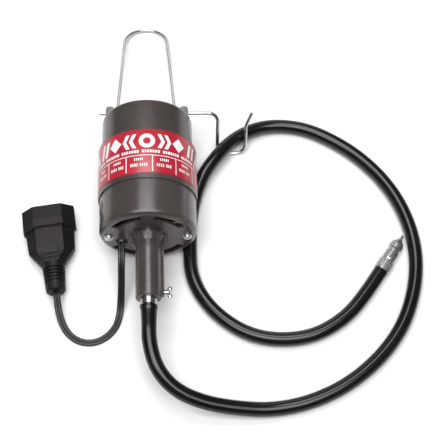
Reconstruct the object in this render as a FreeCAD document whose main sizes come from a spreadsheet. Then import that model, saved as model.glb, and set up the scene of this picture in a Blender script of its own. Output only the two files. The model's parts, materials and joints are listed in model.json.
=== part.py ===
"""Hanging rotary tool with a flexible drive shaft, lying on a flat surface.

Row frame: +Z up, +Y from the nose tube to the hanging bail along the motor axis, +X to the
right. The origin is on the surface, under the middle of the motor, bail and hook.
Motor frame: z runs along the motor axis from the closed end of the top cover to the nose,
y is up and x is to the right, all turned about the axis by the roll of the lying motor.
"""
import FreeCAD
import Part
import Sketcher
import math
import os

V = FreeCAD.Vector

# ---------------------------------------------------------------- driving dimensions (mm, degrees)
DIMENSIONS = dict(
    # place of the motor
    axis_x=-26.803, cover_end_y=20.352, axis_height=42.8, roll=3.0,
    # top cover
    cover_radius=39.8, cover_wall=1.3, cover_plate=1.6, cover_corner=4.0, cover_length=31.0,
    cover_vent_inner=16.0, cover_vent_outer=30.0, cover_vent_from=22.0, cover_vent_to=38.0,
    cover_vents=6,
    lug_inner=29.0, lug_width=9.0, lug_start=12.0, lug_end=27.0,
    # field housing, label and lower bell
    housing_radius=42.8, housing_wall=1.6, neck_start=29.0, neck_bore=39.9, neck_wall=0.5,
    shoulder_start=31.6, shoulder_end=33.4, housing_end=81.0,
    label_radius=43.0, label_start=33.6, label_end=77.3,
    label_half_angle=105.0,
    bell_radius=41.45, bell_wall=1.5, bell_plate=2.5, bell_corner=5.0, bell_end=114.5,
    bell_spigot_radius=41.1, bell_spigot=3.8, hub_radius=12.6, hub_start=101.0,
    bolt_circle=33.3, bolt_hole=2.2, vent_inner=29.2, vent_outer=35.8, vent_from=30.0,
    vent_to=80.0,
    # through bolts
    bolt_radius=1.95, bolt_tip=14.0, head_radius=3.3, head_height=2.0,
    # nose tube
    tube_radius=10.9, tube_end=172.0, tube_bore=7.45, tube_throat=6.2, throat_end=141.0,
    flare_radius=13.6, flare_end=121.0, flare_round=8.0, tube_end_round=1.2,
    spigot_radius=8.2, spigot_start=109.0,
    gusset_radius=16.8, gusset_width=2.2, gusset_end=126.0, gussets=8, rib_reach=13.0, rib_width=7.0,
    rib_round=2.6,
    rib_start=117.0, rib_end=169.5,
    # thumb screw
    screw_station=166.5, screw_radius=1.92, screw_hole=2.0, screw_tip=7.65, screw_shoulder=15.0,
    wing_reach=19.5, wing_hub=2.9, wing_lobe=2.1, wing_offset=3.2, wing_thick=1.8,
    # hanger bracket, rod with hook, bail
    rod_station=10.3, strap_length=66.0, strap_width=15.0, strap_thick=2.0, lug_near=29.6,
    lug_far=37.0, lug_round=6.6, lug_edge=2.8, rod_radius=1.6, rod_hole=1.75, rod_stub=43.0,
    bracket_screw_at=20.0, bracket_screw_radius=1.9, bracket_head_radius=3.6,
    bracket_head_height=2.2, bracket_screw_length=6.0, boss_round=3.6,
    boss_top=4.2,
    hook_drop=61.4, hook_left=64.2, hook_right=90.2, hook_floor=42.1, hook_elbow=9.0,
    hook_round=9.0, hook_waist=13.0, hook_flare_radius=10.0, hook_tip_out=95.3,
    hook_tip_down=0.0,
    bail_drop=18.1, bail_shift=-0.8, bail_half=25.6, bail_round=18.7, bail_arch=20.2,
    bail_length=132.7, bail_flare=30.0,
    eye_gap=0.06, eye_radius=1.75,
    # bearings
    race_outer=9.5, race_bore=3.02, bearing_width=6.0, upper_bearing=5.0, lower_bearing=102.0,
    inner_race_top=4.95, outer_race_bore=7.65, ball_circle=6.3, ball_radius=1.7,
    groove_radius=1.76, balls=7, cage_half_width=0.5, cage_half_height=1.0,
    # armature
    shaft_radius=3.0, shaft_start=3.5, shaft_end=122.0,
    core_radius=22.0, core_start=37.0, core_end=75.0, slots=12, slot_width=3.4, slot_depth=8.5,
    winding_radius=20.0, winding_inner=8.5, winding_overhang=6.5,
    commutator_radius=11.0, commutator_start=85.5, commutator_end=99.5, segments=18,
    segment_gap=0.6, segment_depth=0.5,
    fan_start=16.5, fan_radius=27.0, fan_disc=1.6, blade_height=8.5, blade_thick=1.3, blades=9,
    fan_hub=7.0,
    coupling_radius=5.2, coupling_start=116.0, coupling_end=132.0,
    key_radius=1.9, key_start=124.0, key_end=167.6,
    # stator
    stator_radius=41.0, stator_start=36.0, stator_end=76.0, yoke_inner=33.4, pole_bore=22.7,
    shoe_radius=25.6, neck_half=11.0, shoe_half_gap=12.0, boss_radius=4.6,
    coil_half=16.4, coil_inner=26.0, coil_outer=28.4, coil_gap=0.3, coil_overhang=5.6,
    coil_corner=4.0,
    # brush gear
    brush_station=93.0, brush_angle=164.0, holder_radius=5.5, holder_bore=4.1, holder_start=14.0,
    holder_end=38.4, brush_side=5.6, brush_start=11.07, brush_end=24.0, spring_radius=3.1,
    spring_wire=0.35, spring_start=24.5, spring_pitch=1.9, spring_length=13.3,
    brush_cap_radius=6.5, brush_cap_end=41.3, brush_hole=6.6, cap_slot_width=1.4,
    cap_slot_depth=1.2,
    # suppression capacitor, cord grommet
    capacitor_angle=250.0, capacitor_radius=29.0, capacitor_start=92.0, capacitor_end=109.0,
    capacitor_width=16.0, capacitor_thick=8.0,
    grommet_angle=203.0, grommet_circle=24.7, grommet_hole=4.4, grommet_radius=5.3,
    grommet_end=116.2, cord_clearance=0.06,
    # flexible shaft
    sheath_radius=6.25, sheath_bore=3.6, core_wire_radius=2.2,
    ferrule_radius=7.35, ferrule_start=142.0, ferrule_end=178.0, ferrule_bore=4.0,
    socket_radius=6.32, socket_start=167.5, sleeve_bore=6.5,
    sleeve_radius=7.5, sleeve_end_radius=6.9, sleeve_length=11.0,
    # handpiece end
    end_right=200.1, end_beyond=-138.3, end_height=6.95, end_turn=55.1, crimp_radius=6.9,
    crimp_length=11.5, crimp_bore=3.2, crimp_socket=8.2,
    crimp_grooves=30, crimp_groove=0.35,
    slip_root=5.6, slip_waist=6.0, slip_waist_end=20.5, slip_neck=5.2, slip_collar=6.2,
    slip_collar_start=24.5, slip_end=34.0, slip_nose=2.6, slip_bore=2.5,
    bush_bore=1.55, tip_start=12.5, tip_radius=1.5, tip_step=33.9, tip_shoulder=2.2,
    tip_point=1.1, tip_end=40.8,
    # mains cord and connector
    cord_radius=2.3, plug_x=-81.2, plug_y=-149.0, plug_turn=7.0, plug_height=11.8,
    boot_length=26.0, boot_start_radius=8.4, boot_end_radius=9.9, boot_ribs=5, boot_rib=1.5,
    boot_rib_depth=1.1, boot_socket=8.4, boot_rib_first=8.0, boot_rib_pitch=3.0,
    head_end=80.0, head_collar=58.5, collar_width=46.0, collar_thick=23.6,
    head_width=42.4, head_thick=22.0, shoulder_width=40.0, shoulder_thick=21.4,
    shoulder_at=39.0, root_width=21.0, root_thick=19.0, recess_width=37.0, recess_thick=16.0,
    recess_depth=30.0, panel_half=10.2, panel_from=31.0, panel_to=57.0, panel_rise=0.7,
    insert_width=36.6, insert_thick=15.6, insert_from=50.3, insert_to=66.0,
    contact_pitch=19.0, contact_bore=2.1, contact_radius=2.9, contact_entry=2.5,
    contact_from=50.6, contact_to=64.5,
)

# Routes as corners of straight runs: (right of the motor axis, beyond the closed end, height).
SHEATH_ROUTE = [
    (0, -168, 42.8), (0, -189, 42.8), (1.5, -209.5, 38.4), (9.5, -229.5, 33), (23, -245.5, 26.7),
    (42.5, -257, 20), (67.5, -261.5, 12.6), (97.5, -260.5, 7.2), (131, -255, 6.3),
    (164.5, -239, 6.3), (196.5, -213, 6.3), (219.5, -180, 6.3), (233, -137, 6.3),
    (232, -94.5, 6.3), (218, -54.5, 6.3), (191.5, -18, 6.3), (156, 8.5, 6.3), (129, 15.5, 6.6),
    (103.5, 13, 8.1), (80, 1.5, 10.6), (62.5, -17, 14.7), (46.5, -40.5, 10.3), (37, -71.5, 6.3),
    (34, -104.5, 6.3), (35, -139, 6.3), (53, -172, 6.3), (87.5, -196.5, 6.3), (130, -199, 6.3),
    (164.5, -183, 6.4), (187.5, -156.3, 6.95), (204.7, -131.7, 6.95),
]
CORD_ROUTE = [
    (-23.2, -110, 34.4), (-23.3, -119.5, 34.3), (-23.6, -129.5, 31.5), (-24.1, -138.5, 25.5),
    (-24.8, -147, 17.5), (-25.8, -156.5, 9.5), (-27.2, -167, 4), (-30, -178, 2.4),
    (-37.5, -187.5, 2.4), (-49, -193, 2.4), (-61.5, -191.5, 2.4), (-71.5, -184, 3.2),
    (-77.3, -173, 7.5), (-79.7, -160.9, 11.8), (-82.2, -141.1, 11.8),
]
# Routes inside the motor: (right of the axis, height, distance from the closed end).
LEAD_ROUTES = [
    [(-24.2, 35.2, 109), (-24.4, 36.5, 104.5), (-27.2, 45, 101.5), (-28.2, 52, 99.7)],
    [(-22.2, 33.8, 109), (-21, 30, 104.5), (-10, 24, 102), (6, 22.5, 101.5), (20, 27, 101),
     (27.5, 32, 99.8)],
]


# ---------------------------------------------------------------- sizes bound to the sheet
def number(item):
    return item.value if isinstance(item, Size) else float(item)


def wording(item):
    return item.text if isinstance(item, Size) else repr(float(item))


class Size:
    """A value together with the sheet expression that yields it."""

    def __init__(self, value, text):
        self.value = value
        self.text = text

    def __add__(self, other):
        return Size(self.value + number(other), f"({self.text} + {wording(other)})")

    def __sub__(self, other):
        return Size(self.value - number(other), f"({self.text} - {wording(other)})")

    def __rsub__(self, other):
        return Size(number(other) - self.value, f"({wording(other)} - {self.text})")

    def __mul__(self, other):
        return Size(self.value * number(other), f"({self.text} * {wording(other)})")

    def __truediv__(self, other):
        return Size(self.value / number(other), f"({self.text} / {wording(other)})")

    def __neg__(self):
        return Size(-self.value, f"(-1 * {self.text})")

    __radd__ = __add__
    __rmul__ = __mul__


def around(radius, angle):
    """A point at a radius and an angle in degrees."""
    turn = math.radians(number(angle))
    across = Size(number(radius) * math.cos(turn),
                  f"({wording(radius)} * cos({wording(angle)} * 1 deg))")
    up = Size(number(radius) * math.sin(turn),
              f"({wording(radius)} * sin({wording(angle)} * 1 deg))")
    return across, up


class Dimensions:
    """The spreadsheet of driving dimensions, read as attributes."""

    def __init__(self, document):
        self.sheet = document.addObject("Spreadsheet::Sheet", "Sizes")
        for row, (alias, value) in enumerate(DIMENSIONS.items(), start=1):
            self.sheet.set(f"A{row}", alias.replace("_", " "))
            self.sheet.set(f"B{row}", str(value))
            self.sheet.setAlias(f"B{row}", alias)

    def __getattr__(self, alias):
        return Size(float(DIMENSIONS[alias]), f"Sizes.{alias}")


doc = FreeCAD.newDocument("rotary_tool")
dim = Dimensions(doc)
doc.recompute()

subparts = []
cuts = []


# ---------------------------------------------------------------- drawing helpers
def bind(thing, name, size):
    if isinstance(size, Size):
        thing.setExpression(name, size.text)


def new_body(label, place, many=False):
    body = doc.addObject("PartDesign::Body", label)
    body.Label = label
    body.AllowCompound = many
    body.Placement = place
    subparts.append(body)
    return body


def origin_feature(body, role):
    return next(item for item in body.Origin.OriginFeatures if item.Role == role)


def new_sketch(body, plane, offset=0.0):
    sketch = body.newObject("Sketcher::SketchObject", "Sketch")
    sketch.AttachmentSupport = [(origin_feature(body, plane), "")]
    sketch.MapMode = "FlatFace"
    sketch.AttachmentOffset = FreeCAD.Placement(V(0, 0, number(offset)), FreeCAD.Rotation())
    bind(sketch, ".AttachmentOffset.Base.z", offset)
    return sketch


def pin_point(sketch, geometry, point, at):
    """Hold one point of the sketch at its distances from the origin."""
    for kind, size in zip(("DistanceX", "DistanceY"), at):
        index = sketch.addConstraint(
            Sketcher.Constraint(kind, -1, 1, geometry, point, number(size)))
        bind(sketch, f"Constraints[{index}]", size)


def draw_outline(sketch, corners):
    """A closed outline of straight lines."""
    spots = [V(number(a), number(b), 0) for a, b in corners]
    first = sketch.GeometryCount
    count = len(spots)
    for i in range(count):
        sketch.addGeometry(Part.LineSegment(spots[i], spots[(i + 1) % count]))
    for i in range(count):
        after = first + (i + 1) % count
        sketch.addConstraint(Sketcher.Constraint("Coincident", first + i, 2, after, 1))
    for i in range(count):
        pin_point(sketch, first + i, 1, corners[i])


def draw_circle(sketch, radius, at=(0.0, 0.0)):
    centre = V(number(at[0]), number(at[1]), 0)
    item = sketch.addGeometry(Part.Circle(centre, V(0, 0, 1), number(radius)))
    pin_point(sketch, item, 3, at)
    index = sketch.addConstraint(Sketcher.Constraint("Radius", item, number(radius)))
    bind(sketch, f"Constraints[{index}]", radius)


def draw_box(sketch, left, right, low, high):
    draw_outline(sketch, [(left, low), (right, low), (right, high), (left, high)])


def draw_sector(sketch, inner, outer, start, end):
    """Part of a ring about the origin, between two angles in degrees."""
    middle = V(0, 0, 0)
    angles = [math.radians(number(angle)) for angle in (start, end)]
    arcs = []
    for radius in (inner, outer):
        ring = Part.Circle(middle, V(0, 0, 1), number(radius))
        arc = sketch.addGeometry(Part.ArcOfCircle(ring, *angles))
        sketch.addConstraint(Sketcher.Constraint("Coincident", arc, 3, -1, 1))
        pin_point(sketch, arc, 1, around(radius, start))
        arcs.append(arc)
    for point, angle in ((1, start), (2, end)):
        ends = [around(radius, angle) for radius in (inner, outer)]
        spots = [V(number(a), number(b), 0) for a, b in ends]
        line = sketch.addGeometry(Part.LineSegment(*spots))
        sketch.addConstraint(Sketcher.Constraint("Coincident", line, 1, arcs[0], point))
        sketch.addConstraint(Sketcher.Constraint("Coincident", line, 2, arcs[1], point))
        if point == 2:
            for side in (1, 2):
                at = ends[side - 1][1]
                index = sketch.addConstraint(
                    Sketcher.Constraint("DistanceY", -1, 1, line, side, number(at)))
                bind(sketch, f"Constraints[{index}]", at)


def draw_bent_line(sketch, corners, radii):
    """An open line through corners, each inner corner rounded to its radius."""
    spots = [V(number(a), number(b), 0) for a, b in corners]
    starts, ends, arcs = [spots[0]], [], []
    for before, here, after, radius in zip(spots, spots[1:], spots[2:], radii):
        arrive = (here - before).normalize()
        leave = (after - here).normalize()
        half_turn = arrive.getAngle(leave) / 2
        trim = number(radius) * math.tan(half_turn)
        into, out = here - arrive * trim, here + leave * trim
        bisector = (leave - arrive).normalize()
        centre = here + bisector * (number(radius) / math.cos(half_turn))
        left_turn = arrive.cross(leave).z > 0
        first, last = (into, out) if left_turn else (out, into)
        angles = [math.atan2(spot.y - centre.y, spot.x - centre.x) for spot in (first, last)]
        circle = Part.Circle(centre, V(0, 0, 1), number(radius))
        arcs.append((Part.ArcOfCircle(circle, *angles), (1, 2) if left_turn else (2, 1)))
        ends.append(into)
        starts.append(out)
    ends.append(spots[-1])
    lines = [sketch.addGeometry(Part.LineSegment(a, b)) for a, b in zip(starts, ends)]
    pin_point(sketch, lines[0], 1, corners[0])
    pin_point(sketch, lines[-1], 2, corners[-1])
    for i, (arc, (near, far)) in enumerate(arcs):
        curve = sketch.addGeometry(arc)
        corner = sketch.addGeometry(Part.Point(spots[i + 1]), True)
        pin_point(sketch, corner, 1, corners[i + 1])
        sketch.addConstraint([
            Sketcher.Constraint("PointOnObject", corner, 1, lines[i]),
            Sketcher.Constraint("PointOnObject", corner, 1, lines[i + 1]),
            Sketcher.Constraint("Tangent", lines[i], 2, curve, near),
            Sketcher.Constraint("Tangent", curve, far, lines[i + 1], 1)])
        index = sketch.addConstraint(Sketcher.Constraint("Radius", curve, number(radii[i])))
        bind(sketch, f"Constraints[{index}]", radii[i])


# ---------------------------------------------------------------- features
def revolve(body, corners, plane="XZ_Plane", axis="V_Axis", cut=False):
    """Turn an outline about an axis of its own sketch."""
    sketch = new_sketch(body, plane)
    draw_outline(sketch, corners)
    feature = body.newObject("PartDesign::Groove" if cut else "PartDesign::Revolution", "Turn")
    feature.Profile = sketch
    feature.ReferenceAxis = (sketch, [axis])
    feature.Angle = 360.0
    doc.recompute()
    if cut:
        cuts.append(feature)
    return feature


def groove_ring(body, circle, radius, station):
    """Cut a round groove about the motor axis."""
    sketch = new_sketch(body, "XZ_Plane")
    draw_circle(sketch, radius, (circle, station))
    feature = body.newObject("PartDesign::Groove", "Groove")
    feature.Profile = sketch
    feature.ReferenceAxis = (sketch, ["V_Axis"])
    feature.Angle = 360.0
    doc.recompute()
    cuts.append(feature)


def pad(body, sketch, length, reverse=False, centred=False):
    feature = body.newObject("PartDesign::Pad", "Pad")
    feature.Profile = sketch
    feature.Length = number(length)
    bind(feature, "Length", length)
    feature.Reversed = reverse
    feature.Midplane = centred
    doc.recompute()
    return feature


def pocket(body, sketch, depth, reverse=False, centred=False):
    """Cut the sketch's outline out of the body, against the sketch's normal by default."""
    feature = body.newObject("PartDesign::Pocket", "Pocket")
    feature.Profile = sketch
    feature.Length = number(depth)
    bind(feature, "Length", depth)
    feature.Reversed = reverse
    feature.Midplane = centred
    doc.recompute()
    cuts.append(feature)
    return feature


def repeat_around(body, feature, count, axis="Z_Axis"):
    pattern = body.newObject("PartDesign::PolarPattern", "Around")
    pattern.Originals = [feature]
    pattern.Axis = (origin_feature(body, axis), [""])
    pattern.Angle = 360.0
    pattern.Occurrences = int(number(count))
    bind(pattern, "Occurrences", count)
    body.Tip = pattern
    doc.recompute()
    return pattern


def repeat_along(body, feature, axis, length, count):
    pattern = body.newObject("PartDesign::LinearPattern", "Along")
    pattern.Originals = [feature]
    pattern.Direction = (origin_feature(body, axis), [""])
    pattern.Length = number(length)
    bind(pattern, "Length", length)
    pattern.Occurrences = int(number(count))
    body.Tip = pattern
    doc.recompute()
    return pattern


def round_edges(body, radius, chosen, chamfer=False):
    """Fillet or chamfer the edges of the body's tip that the test picks."""
    base = body.Tip
    names = [f"Edge{i}" for i, edge in enumerate(base.Shape.Edges, start=1) if chosen(edge)]
    kind = "PartDesign::Chamfer" if chamfer else "PartDesign::Fillet"
    feature = body.newObject(kind, "Edges")
    feature.Base = (base, names)
    name = "Size" if chamfer else "Radius"
    setattr(feature, name, number(radius))
    bind(feature, name, radius)
    doc.recompute()
    return feature


def is_circle(edge, radius, station=None, tolerance=0.01):
    """True for an edge that is an arc about the body's z axis."""
    if not isinstance(edge.Curve, Part.Circle):
        return False
    centre = edge.Curve.Center
    level = station is None or abs(centre.z - number(station)) < tolerance
    return level and abs(edge.Curve.Radius - number(radius)) < tolerance \
        and math.hypot(centre.x, centre.y) < tolerance


def wire_body(label, place, corners, radii, radius):
    """A bent round wire in its body's XY plane, starting along x or y."""
    body = new_body(label, place)
    path = new_sketch(body, "XY_Plane")
    draw_bent_line(path, corners, radii)
    along_x = number(corners[0][1]) == number(corners[1][1])
    section = new_sketch(body, "YZ_Plane" if along_x else "XZ_Plane",
                         corners[0][0] if along_x else -corners[0][1])
    draw_circle(section, radius, (corners[0][1] if along_x else corners[0][0], 0.0))
    pipe = body.newObject("PartDesign::AdditivePipe", "Wire")
    pipe.Profile = section
    pipe.Spine = (path, [])
    doc.recompute()
    return body


def smooth_path(corners):
    """Straight runs joined by tangent arcs, each as large as its two runs allow."""
    share = 0.45
    edges, radii = [], []
    start = corners[0]
    for before, here, after in zip(corners, corners[1:], corners[2:]):
        arrive, leave = here - before, after - here
        trim = share * min(arrive.Length, leave.Length)
        half_turn = arrive.getAngle(leave) / 2
        radius = trim / math.tan(half_turn)
        arrive.normalize()
        leave.normalize()
        into, out = here - arrive * trim, here + leave * trim
        bisector = (leave - arrive).normalize()
        middle = here + bisector * (radius / math.cos(half_turn) - radius)
        edges.append(Part.LineSegment(start, into).toShape())
        edges.append(Part.Arc(into, middle, out).toShape())
        radii.append(radius)
        start = out
    edges.append(Part.LineSegment(start, corners[-1]).toShape())
    return Part.Wire(edges), radii


def tube(corners, radius, name, bore=None):
    """A round tube along corners, with its volume checked against section times length."""
    path, radii = smooth_path(corners)
    direction = corners[1] - corners[0]
    solids = []
    for size in (radius, bore):
        if size is None:
            continue
        ring = Part.Wire(Part.makeCircle(size, corners[0], direction))
        solids.append(path.makePipeShell([ring], True, False))
    solid = solids[0].cut(solids[1]) if bore else solids[0]
    section = math.pi * (radius ** 2 - (bore or 0) ** 2)
    share = solid.Volume / (section * path.Length)
    print(f"{name}: length {path.Length:.1f}, volume share {share:.4f}, radii",
          " ".join(f"{item:.0f}" for item in radii))
    if abs(share - 1) > 0.01:
        raise ValueError(f"{name} has the wrong volume")
    return solid


def new_shape(label, shape, place=FreeCAD.Placement()):
    feature = doc.addObject("Part::Feature", label)
    feature.Label = label
    feature.Shape = shape
    feature.Placement = place
    subparts.append(feature)
    return feature


# ---------------------------------------------------------------- frames
def turned(axis, angle, at=V(0, 0, 0)):
    return FreeCAD.Placement(at, FreeCAD.Rotation(axis, angle))


X, Y, Z = V(1, 0, 0), V(0, 1, 0), V(0, 0, 1)
motor = FreeCAD.Placement(
    V(dim.axis_x.value, dim.cover_end_y.value, dim.axis_height.value),
    FreeCAD.Rotation(X, 90) * FreeCAD.Rotation(Z, -dim.roll.value))
rod_place = motor * turned(X, 0, V(0, 0, -dim.rod_station.value))
hook_place = rod_place * turned(X, 90 + dim.hook_drop.value)
bail_place = rod_place * turned(X, -90 - dim.bail_drop.value, V(dim.bail_shift.value, 0, 0))
plug_place = turned(Z, dim.plug_turn.value,
                    V(dim.axis_x.value + dim.plug_x.value,
                      dim.cover_end_y.value + dim.plug_y.value, dim.plug_height.value))


def route_point(corner):
    right, beyond, height = corner
    return V(dim.axis_x.value + right, dim.cover_end_y.value + beyond, height)


end_place = turned(Z, dim.end_turn.value,
                   V(dim.axis_x.value + dim.end_right.value,
                     dim.cover_end_y.value + dim.end_beyond.value, dim.end_height.value))


# ---------------------------------------------------------------- casings
def top_cover():
    body = new_body("top_cover", motor)
    inner = dim.cover_radius - dim.cover_wall
    bore = dim.race_outer
    bearing_end = dim.upper_bearing + dim.bearing_width
    revolve(body, [
        (0.0, 0.0), (dim.cover_radius, 0.0), (dim.cover_radius, dim.cover_length),
        (inner, dim.cover_length), (inner, dim.cover_plate), (dim.hub_radius, dim.cover_plate),
        (dim.hub_radius, bearing_end), (bore, bearing_end), (bore, dim.cover_plate + 1.0),
        (0.0, dim.cover_plate + 1.0)])
    lug = new_sketch(body, "XY_Plane", dim.lug_start)
    draw_box(lug, dim.lug_inner, inner + 0.5, -dim.lug_width / 2, dim.lug_width / 2)
    lug_pad = pad(body, lug, dim.lug_end - dim.lug_start)
    repeat_around(body, lug_pad, 2)
    boss = new_sketch(body, "XY_Plane", dim.cover_plate)
    draw_circle(boss, dim.boss_round, (dim.bracket_screw_at, 0.0))
    boss_pad = pad(body, boss, dim.boss_top - dim.cover_plate)
    repeat_around(body, boss_pad, 2)
    tapped = new_sketch(body, "XY_Plane", dim.lug_end)
    draw_circle(tapped, dim.bolt_radius + 0.05, (dim.bolt_circle, 0.0))
    hole = pocket(body, tapped, dim.lug_end - dim.lug_start)
    repeat_around(body, hole, 2)
    vent = new_sketch(body, "XY_Plane", dim.cover_plate)
    draw_outline(vent, [
        around(dim.cover_vent_inner, dim.cover_vent_from),
        around(dim.cover_vent_outer, dim.cover_vent_from),
        around(dim.cover_vent_outer, dim.cover_vent_to),
        around(dim.cover_vent_inner, dim.cover_vent_to)])
    slot = pocket(body, vent, dim.cover_plate)
    repeat_around(body, slot, dim.cover_vents)
    fixing = new_sketch(body, "XY_Plane", dim.boss_top)
    draw_circle(fixing, dim.bracket_screw_radius + 0.05, (dim.bracket_screw_at, 0.0))
    fixing_hole = pocket(body, fixing, dim.boss_top)
    repeat_around(body, fixing_hole, 2)
    round_edges(body, dim.cover_corner, lambda edge: is_circle(edge, dim.cover_radius, 0.0))


def field_housing():
    body = new_body("field_housing", motor)
    inner = dim.housing_radius - dim.housing_wall
    revolve(body, [
        (dim.neck_bore, dim.neck_start), (dim.neck_bore + dim.neck_wall, dim.neck_start),
        (dim.neck_bore + dim.neck_wall, dim.shoulder_start),
        (dim.housing_radius, dim.shoulder_end), (dim.housing_radius, dim.housing_end),
        (inner, dim.housing_end), (inner, dim.cover_length + 2.5),
        (dim.neck_bore, dim.cover_length + 0.5)])


def label_band():
    body = new_body("label_band", motor)
    sketch = new_sketch(body, "XY_Plane", dim.label_start)
    draw_sector(sketch, dim.housing_radius, dim.label_radius, 90 - dim.label_half_angle,
                dim.label_half_angle + 90)
    pad(body, sketch, dim.label_end - dim.label_start)


def lower_bell():
    body = new_body("lower_bell", motor)
    inner = dim.bell_radius - dim.bell_wall
    plate = dim.bell_end - dim.bell_plate
    shelf = dim.lower_bearing + dim.bearing_width
    revolve(body, [
        (inner, dim.housing_end - dim.bell_spigot),
        (dim.bell_spigot_radius, dim.housing_end - dim.bell_spigot),
        (dim.bell_spigot_radius, dim.housing_end), (dim.bell_radius, dim.housing_end),
        (dim.bell_radius, dim.bell_end), (dim.spigot_radius, dim.bell_end),
        (dim.spigot_radius, shelf), (dim.race_outer, shelf), (dim.race_outer, dim.hub_start),
        (dim.hub_radius, dim.hub_start), (dim.hub_radius, plate), (inner, plate)])
    vents = new_sketch(body, "XY_Plane", dim.bell_end)
    spans = [(dim.vent_from, dim.vent_to), (180 - dim.vent_to, 180 - dim.vent_from),
             (180 + dim.vent_from, 180 + dim.vent_to), (360 - dim.vent_to, 360 - dim.vent_from)]
    for start, end in spans:
        draw_sector(vents, dim.vent_inner, dim.vent_outer, start, end)
    pocket(body, vents, dim.bell_plate)
    holes = new_sketch(body, "XY_Plane", dim.bell_end)
    for side in (1, -1):
        draw_circle(holes, dim.bolt_hole, (side * dim.bolt_circle, 0.0))
    draw_circle(holes, dim.grommet_hole, around(dim.grommet_circle, dim.grommet_angle))
    pocket(body, holes, dim.bell_plate)
    for angle in (dim.brush_angle, dim.brush_angle + 180):
        hole = body.newObject("PartDesign::SubtractiveCylinder", "BrushHole")
        hole.Radius = dim.brush_hole.value
        bind(hole, "Radius", dim.brush_hole)
        hole.Height = dim.bell_radius.value - dim.hub_radius.value
        hole.AttachmentSupport = [(origin_feature(body, "XY_Plane"), "")]
        hole.MapMode = "FlatFace"
        across, up = around(dim.hub_radius + 8, angle)
        hole.AttachmentOffset = FreeCAD.Placement(
            V(across.value, up.value, dim.brush_station.value),
            FreeCAD.Rotation(Z, angle.value) * FreeCAD.Rotation(Y, 90))
        doc.recompute()
        cuts.append(hole)
    round_edges(body, dim.bell_corner, lambda edge: is_circle(edge, dim.bell_radius, dim.bell_end))


def nose_tube():
    body = new_body("nose_tube", motor)
    revolve(body, [
        (dim.spigot_radius - 1.4, dim.spigot_start), (dim.spigot_radius, dim.spigot_start),
        (dim.spigot_radius, dim.bell_end), (dim.flare_radius, dim.bell_end),
        (dim.flare_radius, dim.bell_end + 1.5), (dim.tube_radius, dim.flare_end),
        (dim.tube_radius, dim.tube_end), (dim.tube_bore, dim.tube_end),
        (dim.tube_bore, dim.throat_end), (dim.tube_throat, dim.throat_end),
        (dim.tube_throat, dim.bell_end + 4), (dim.spigot_radius - 1.4, dim.bell_end + 1)])
    round_edges(body, dim.flare_round, lambda edge: is_circle(edge, dim.tube_radius, dim.flare_end))
    gusset = new_sketch(body, "XZ_Plane")
    draw_outline(gusset, [
        (dim.tube_radius - 0.6, dim.bell_end), (dim.gusset_radius, dim.bell_end),
        (dim.gusset_radius, dim.bell_end + 1.2), (dim.tube_radius, dim.gusset_end),
        (dim.tube_radius - 0.6, dim.gusset_end)])
    fin = pad(body, gusset, dim.gusset_width, centred=True)
    repeat_around(body, fin, dim.gussets)
    rib = new_sketch(body, "XY_Plane", dim.rib_start)
    half, corner = dim.rib_width / 2, dim.rib_round
    bevelled = [(dim.tube_bore + 1.0, half), (dim.rib_reach - corner, half),
                (dim.rib_reach - corner * 0.3, half - corner * 0.3),
                (dim.rib_reach, half - corner)]
    draw_outline(rib, bevelled + [(across, -up) for across, up in reversed(bevelled)])
    pad(body, rib, dim.rib_end - dim.rib_start)
    tapped = new_sketch(body, "YZ_Plane", dim.rib_reach)
    draw_circle(tapped, dim.screw_hole, (0.0, dim.screw_station))
    pocket(body, tapped, dim.rib_reach - dim.tube_bore + 1.0)
    round_edges(body, dim.tube_end_round,
                lambda edge: is_circle(edge, dim.tube_radius, dim.tube_end))


def bolt_group(label, start, shank_end, circle, shank, head_radius, head_height, toward_nose):
    """Two pan-head screws on a circle about the motor axis, as one group."""
    body = new_body(label, motor, many=True)
    sign = 1 if toward_nose else -1
    for side in (1, -1):
        stem = new_sketch(body, "XY_Plane", shank_end)
        draw_circle(stem, shank, (side * circle, 0.0))
        pad(body, stem, (start - shank_end) * sign, reverse=not toward_nose)
        cap = new_sketch(body, "XY_Plane", start)
        draw_circle(cap, head_radius, (side * circle, 0.0))
        pad(body, cap, head_height, reverse=not toward_nose)
        cross = new_sketch(body, "XY_Plane", start + head_height * sign)
        draw_box(cross, side * circle - head_radius * 0.55, side * circle + head_radius * 0.55,
                 -head_radius * 0.14, head_radius * 0.14)
        pocket(body, cross, head_height * 0.5, reverse=not toward_nose)
    return body


# ---------------------------------------------------------------- hanging gear
def is_lug_rim(edge):
    """True for the round rim of a bracket lug, on either face."""
    if not isinstance(edge.Curve, Part.Circle):
        return False
    sideways = min(abs(abs(edge.Curve.Center.x) - face.value)
                   for face in (dim.lug_near, dim.lug_far))
    return sideways < 0.01 and abs(edge.Curve.Radius - dim.lug_round.value) < 0.01


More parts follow.
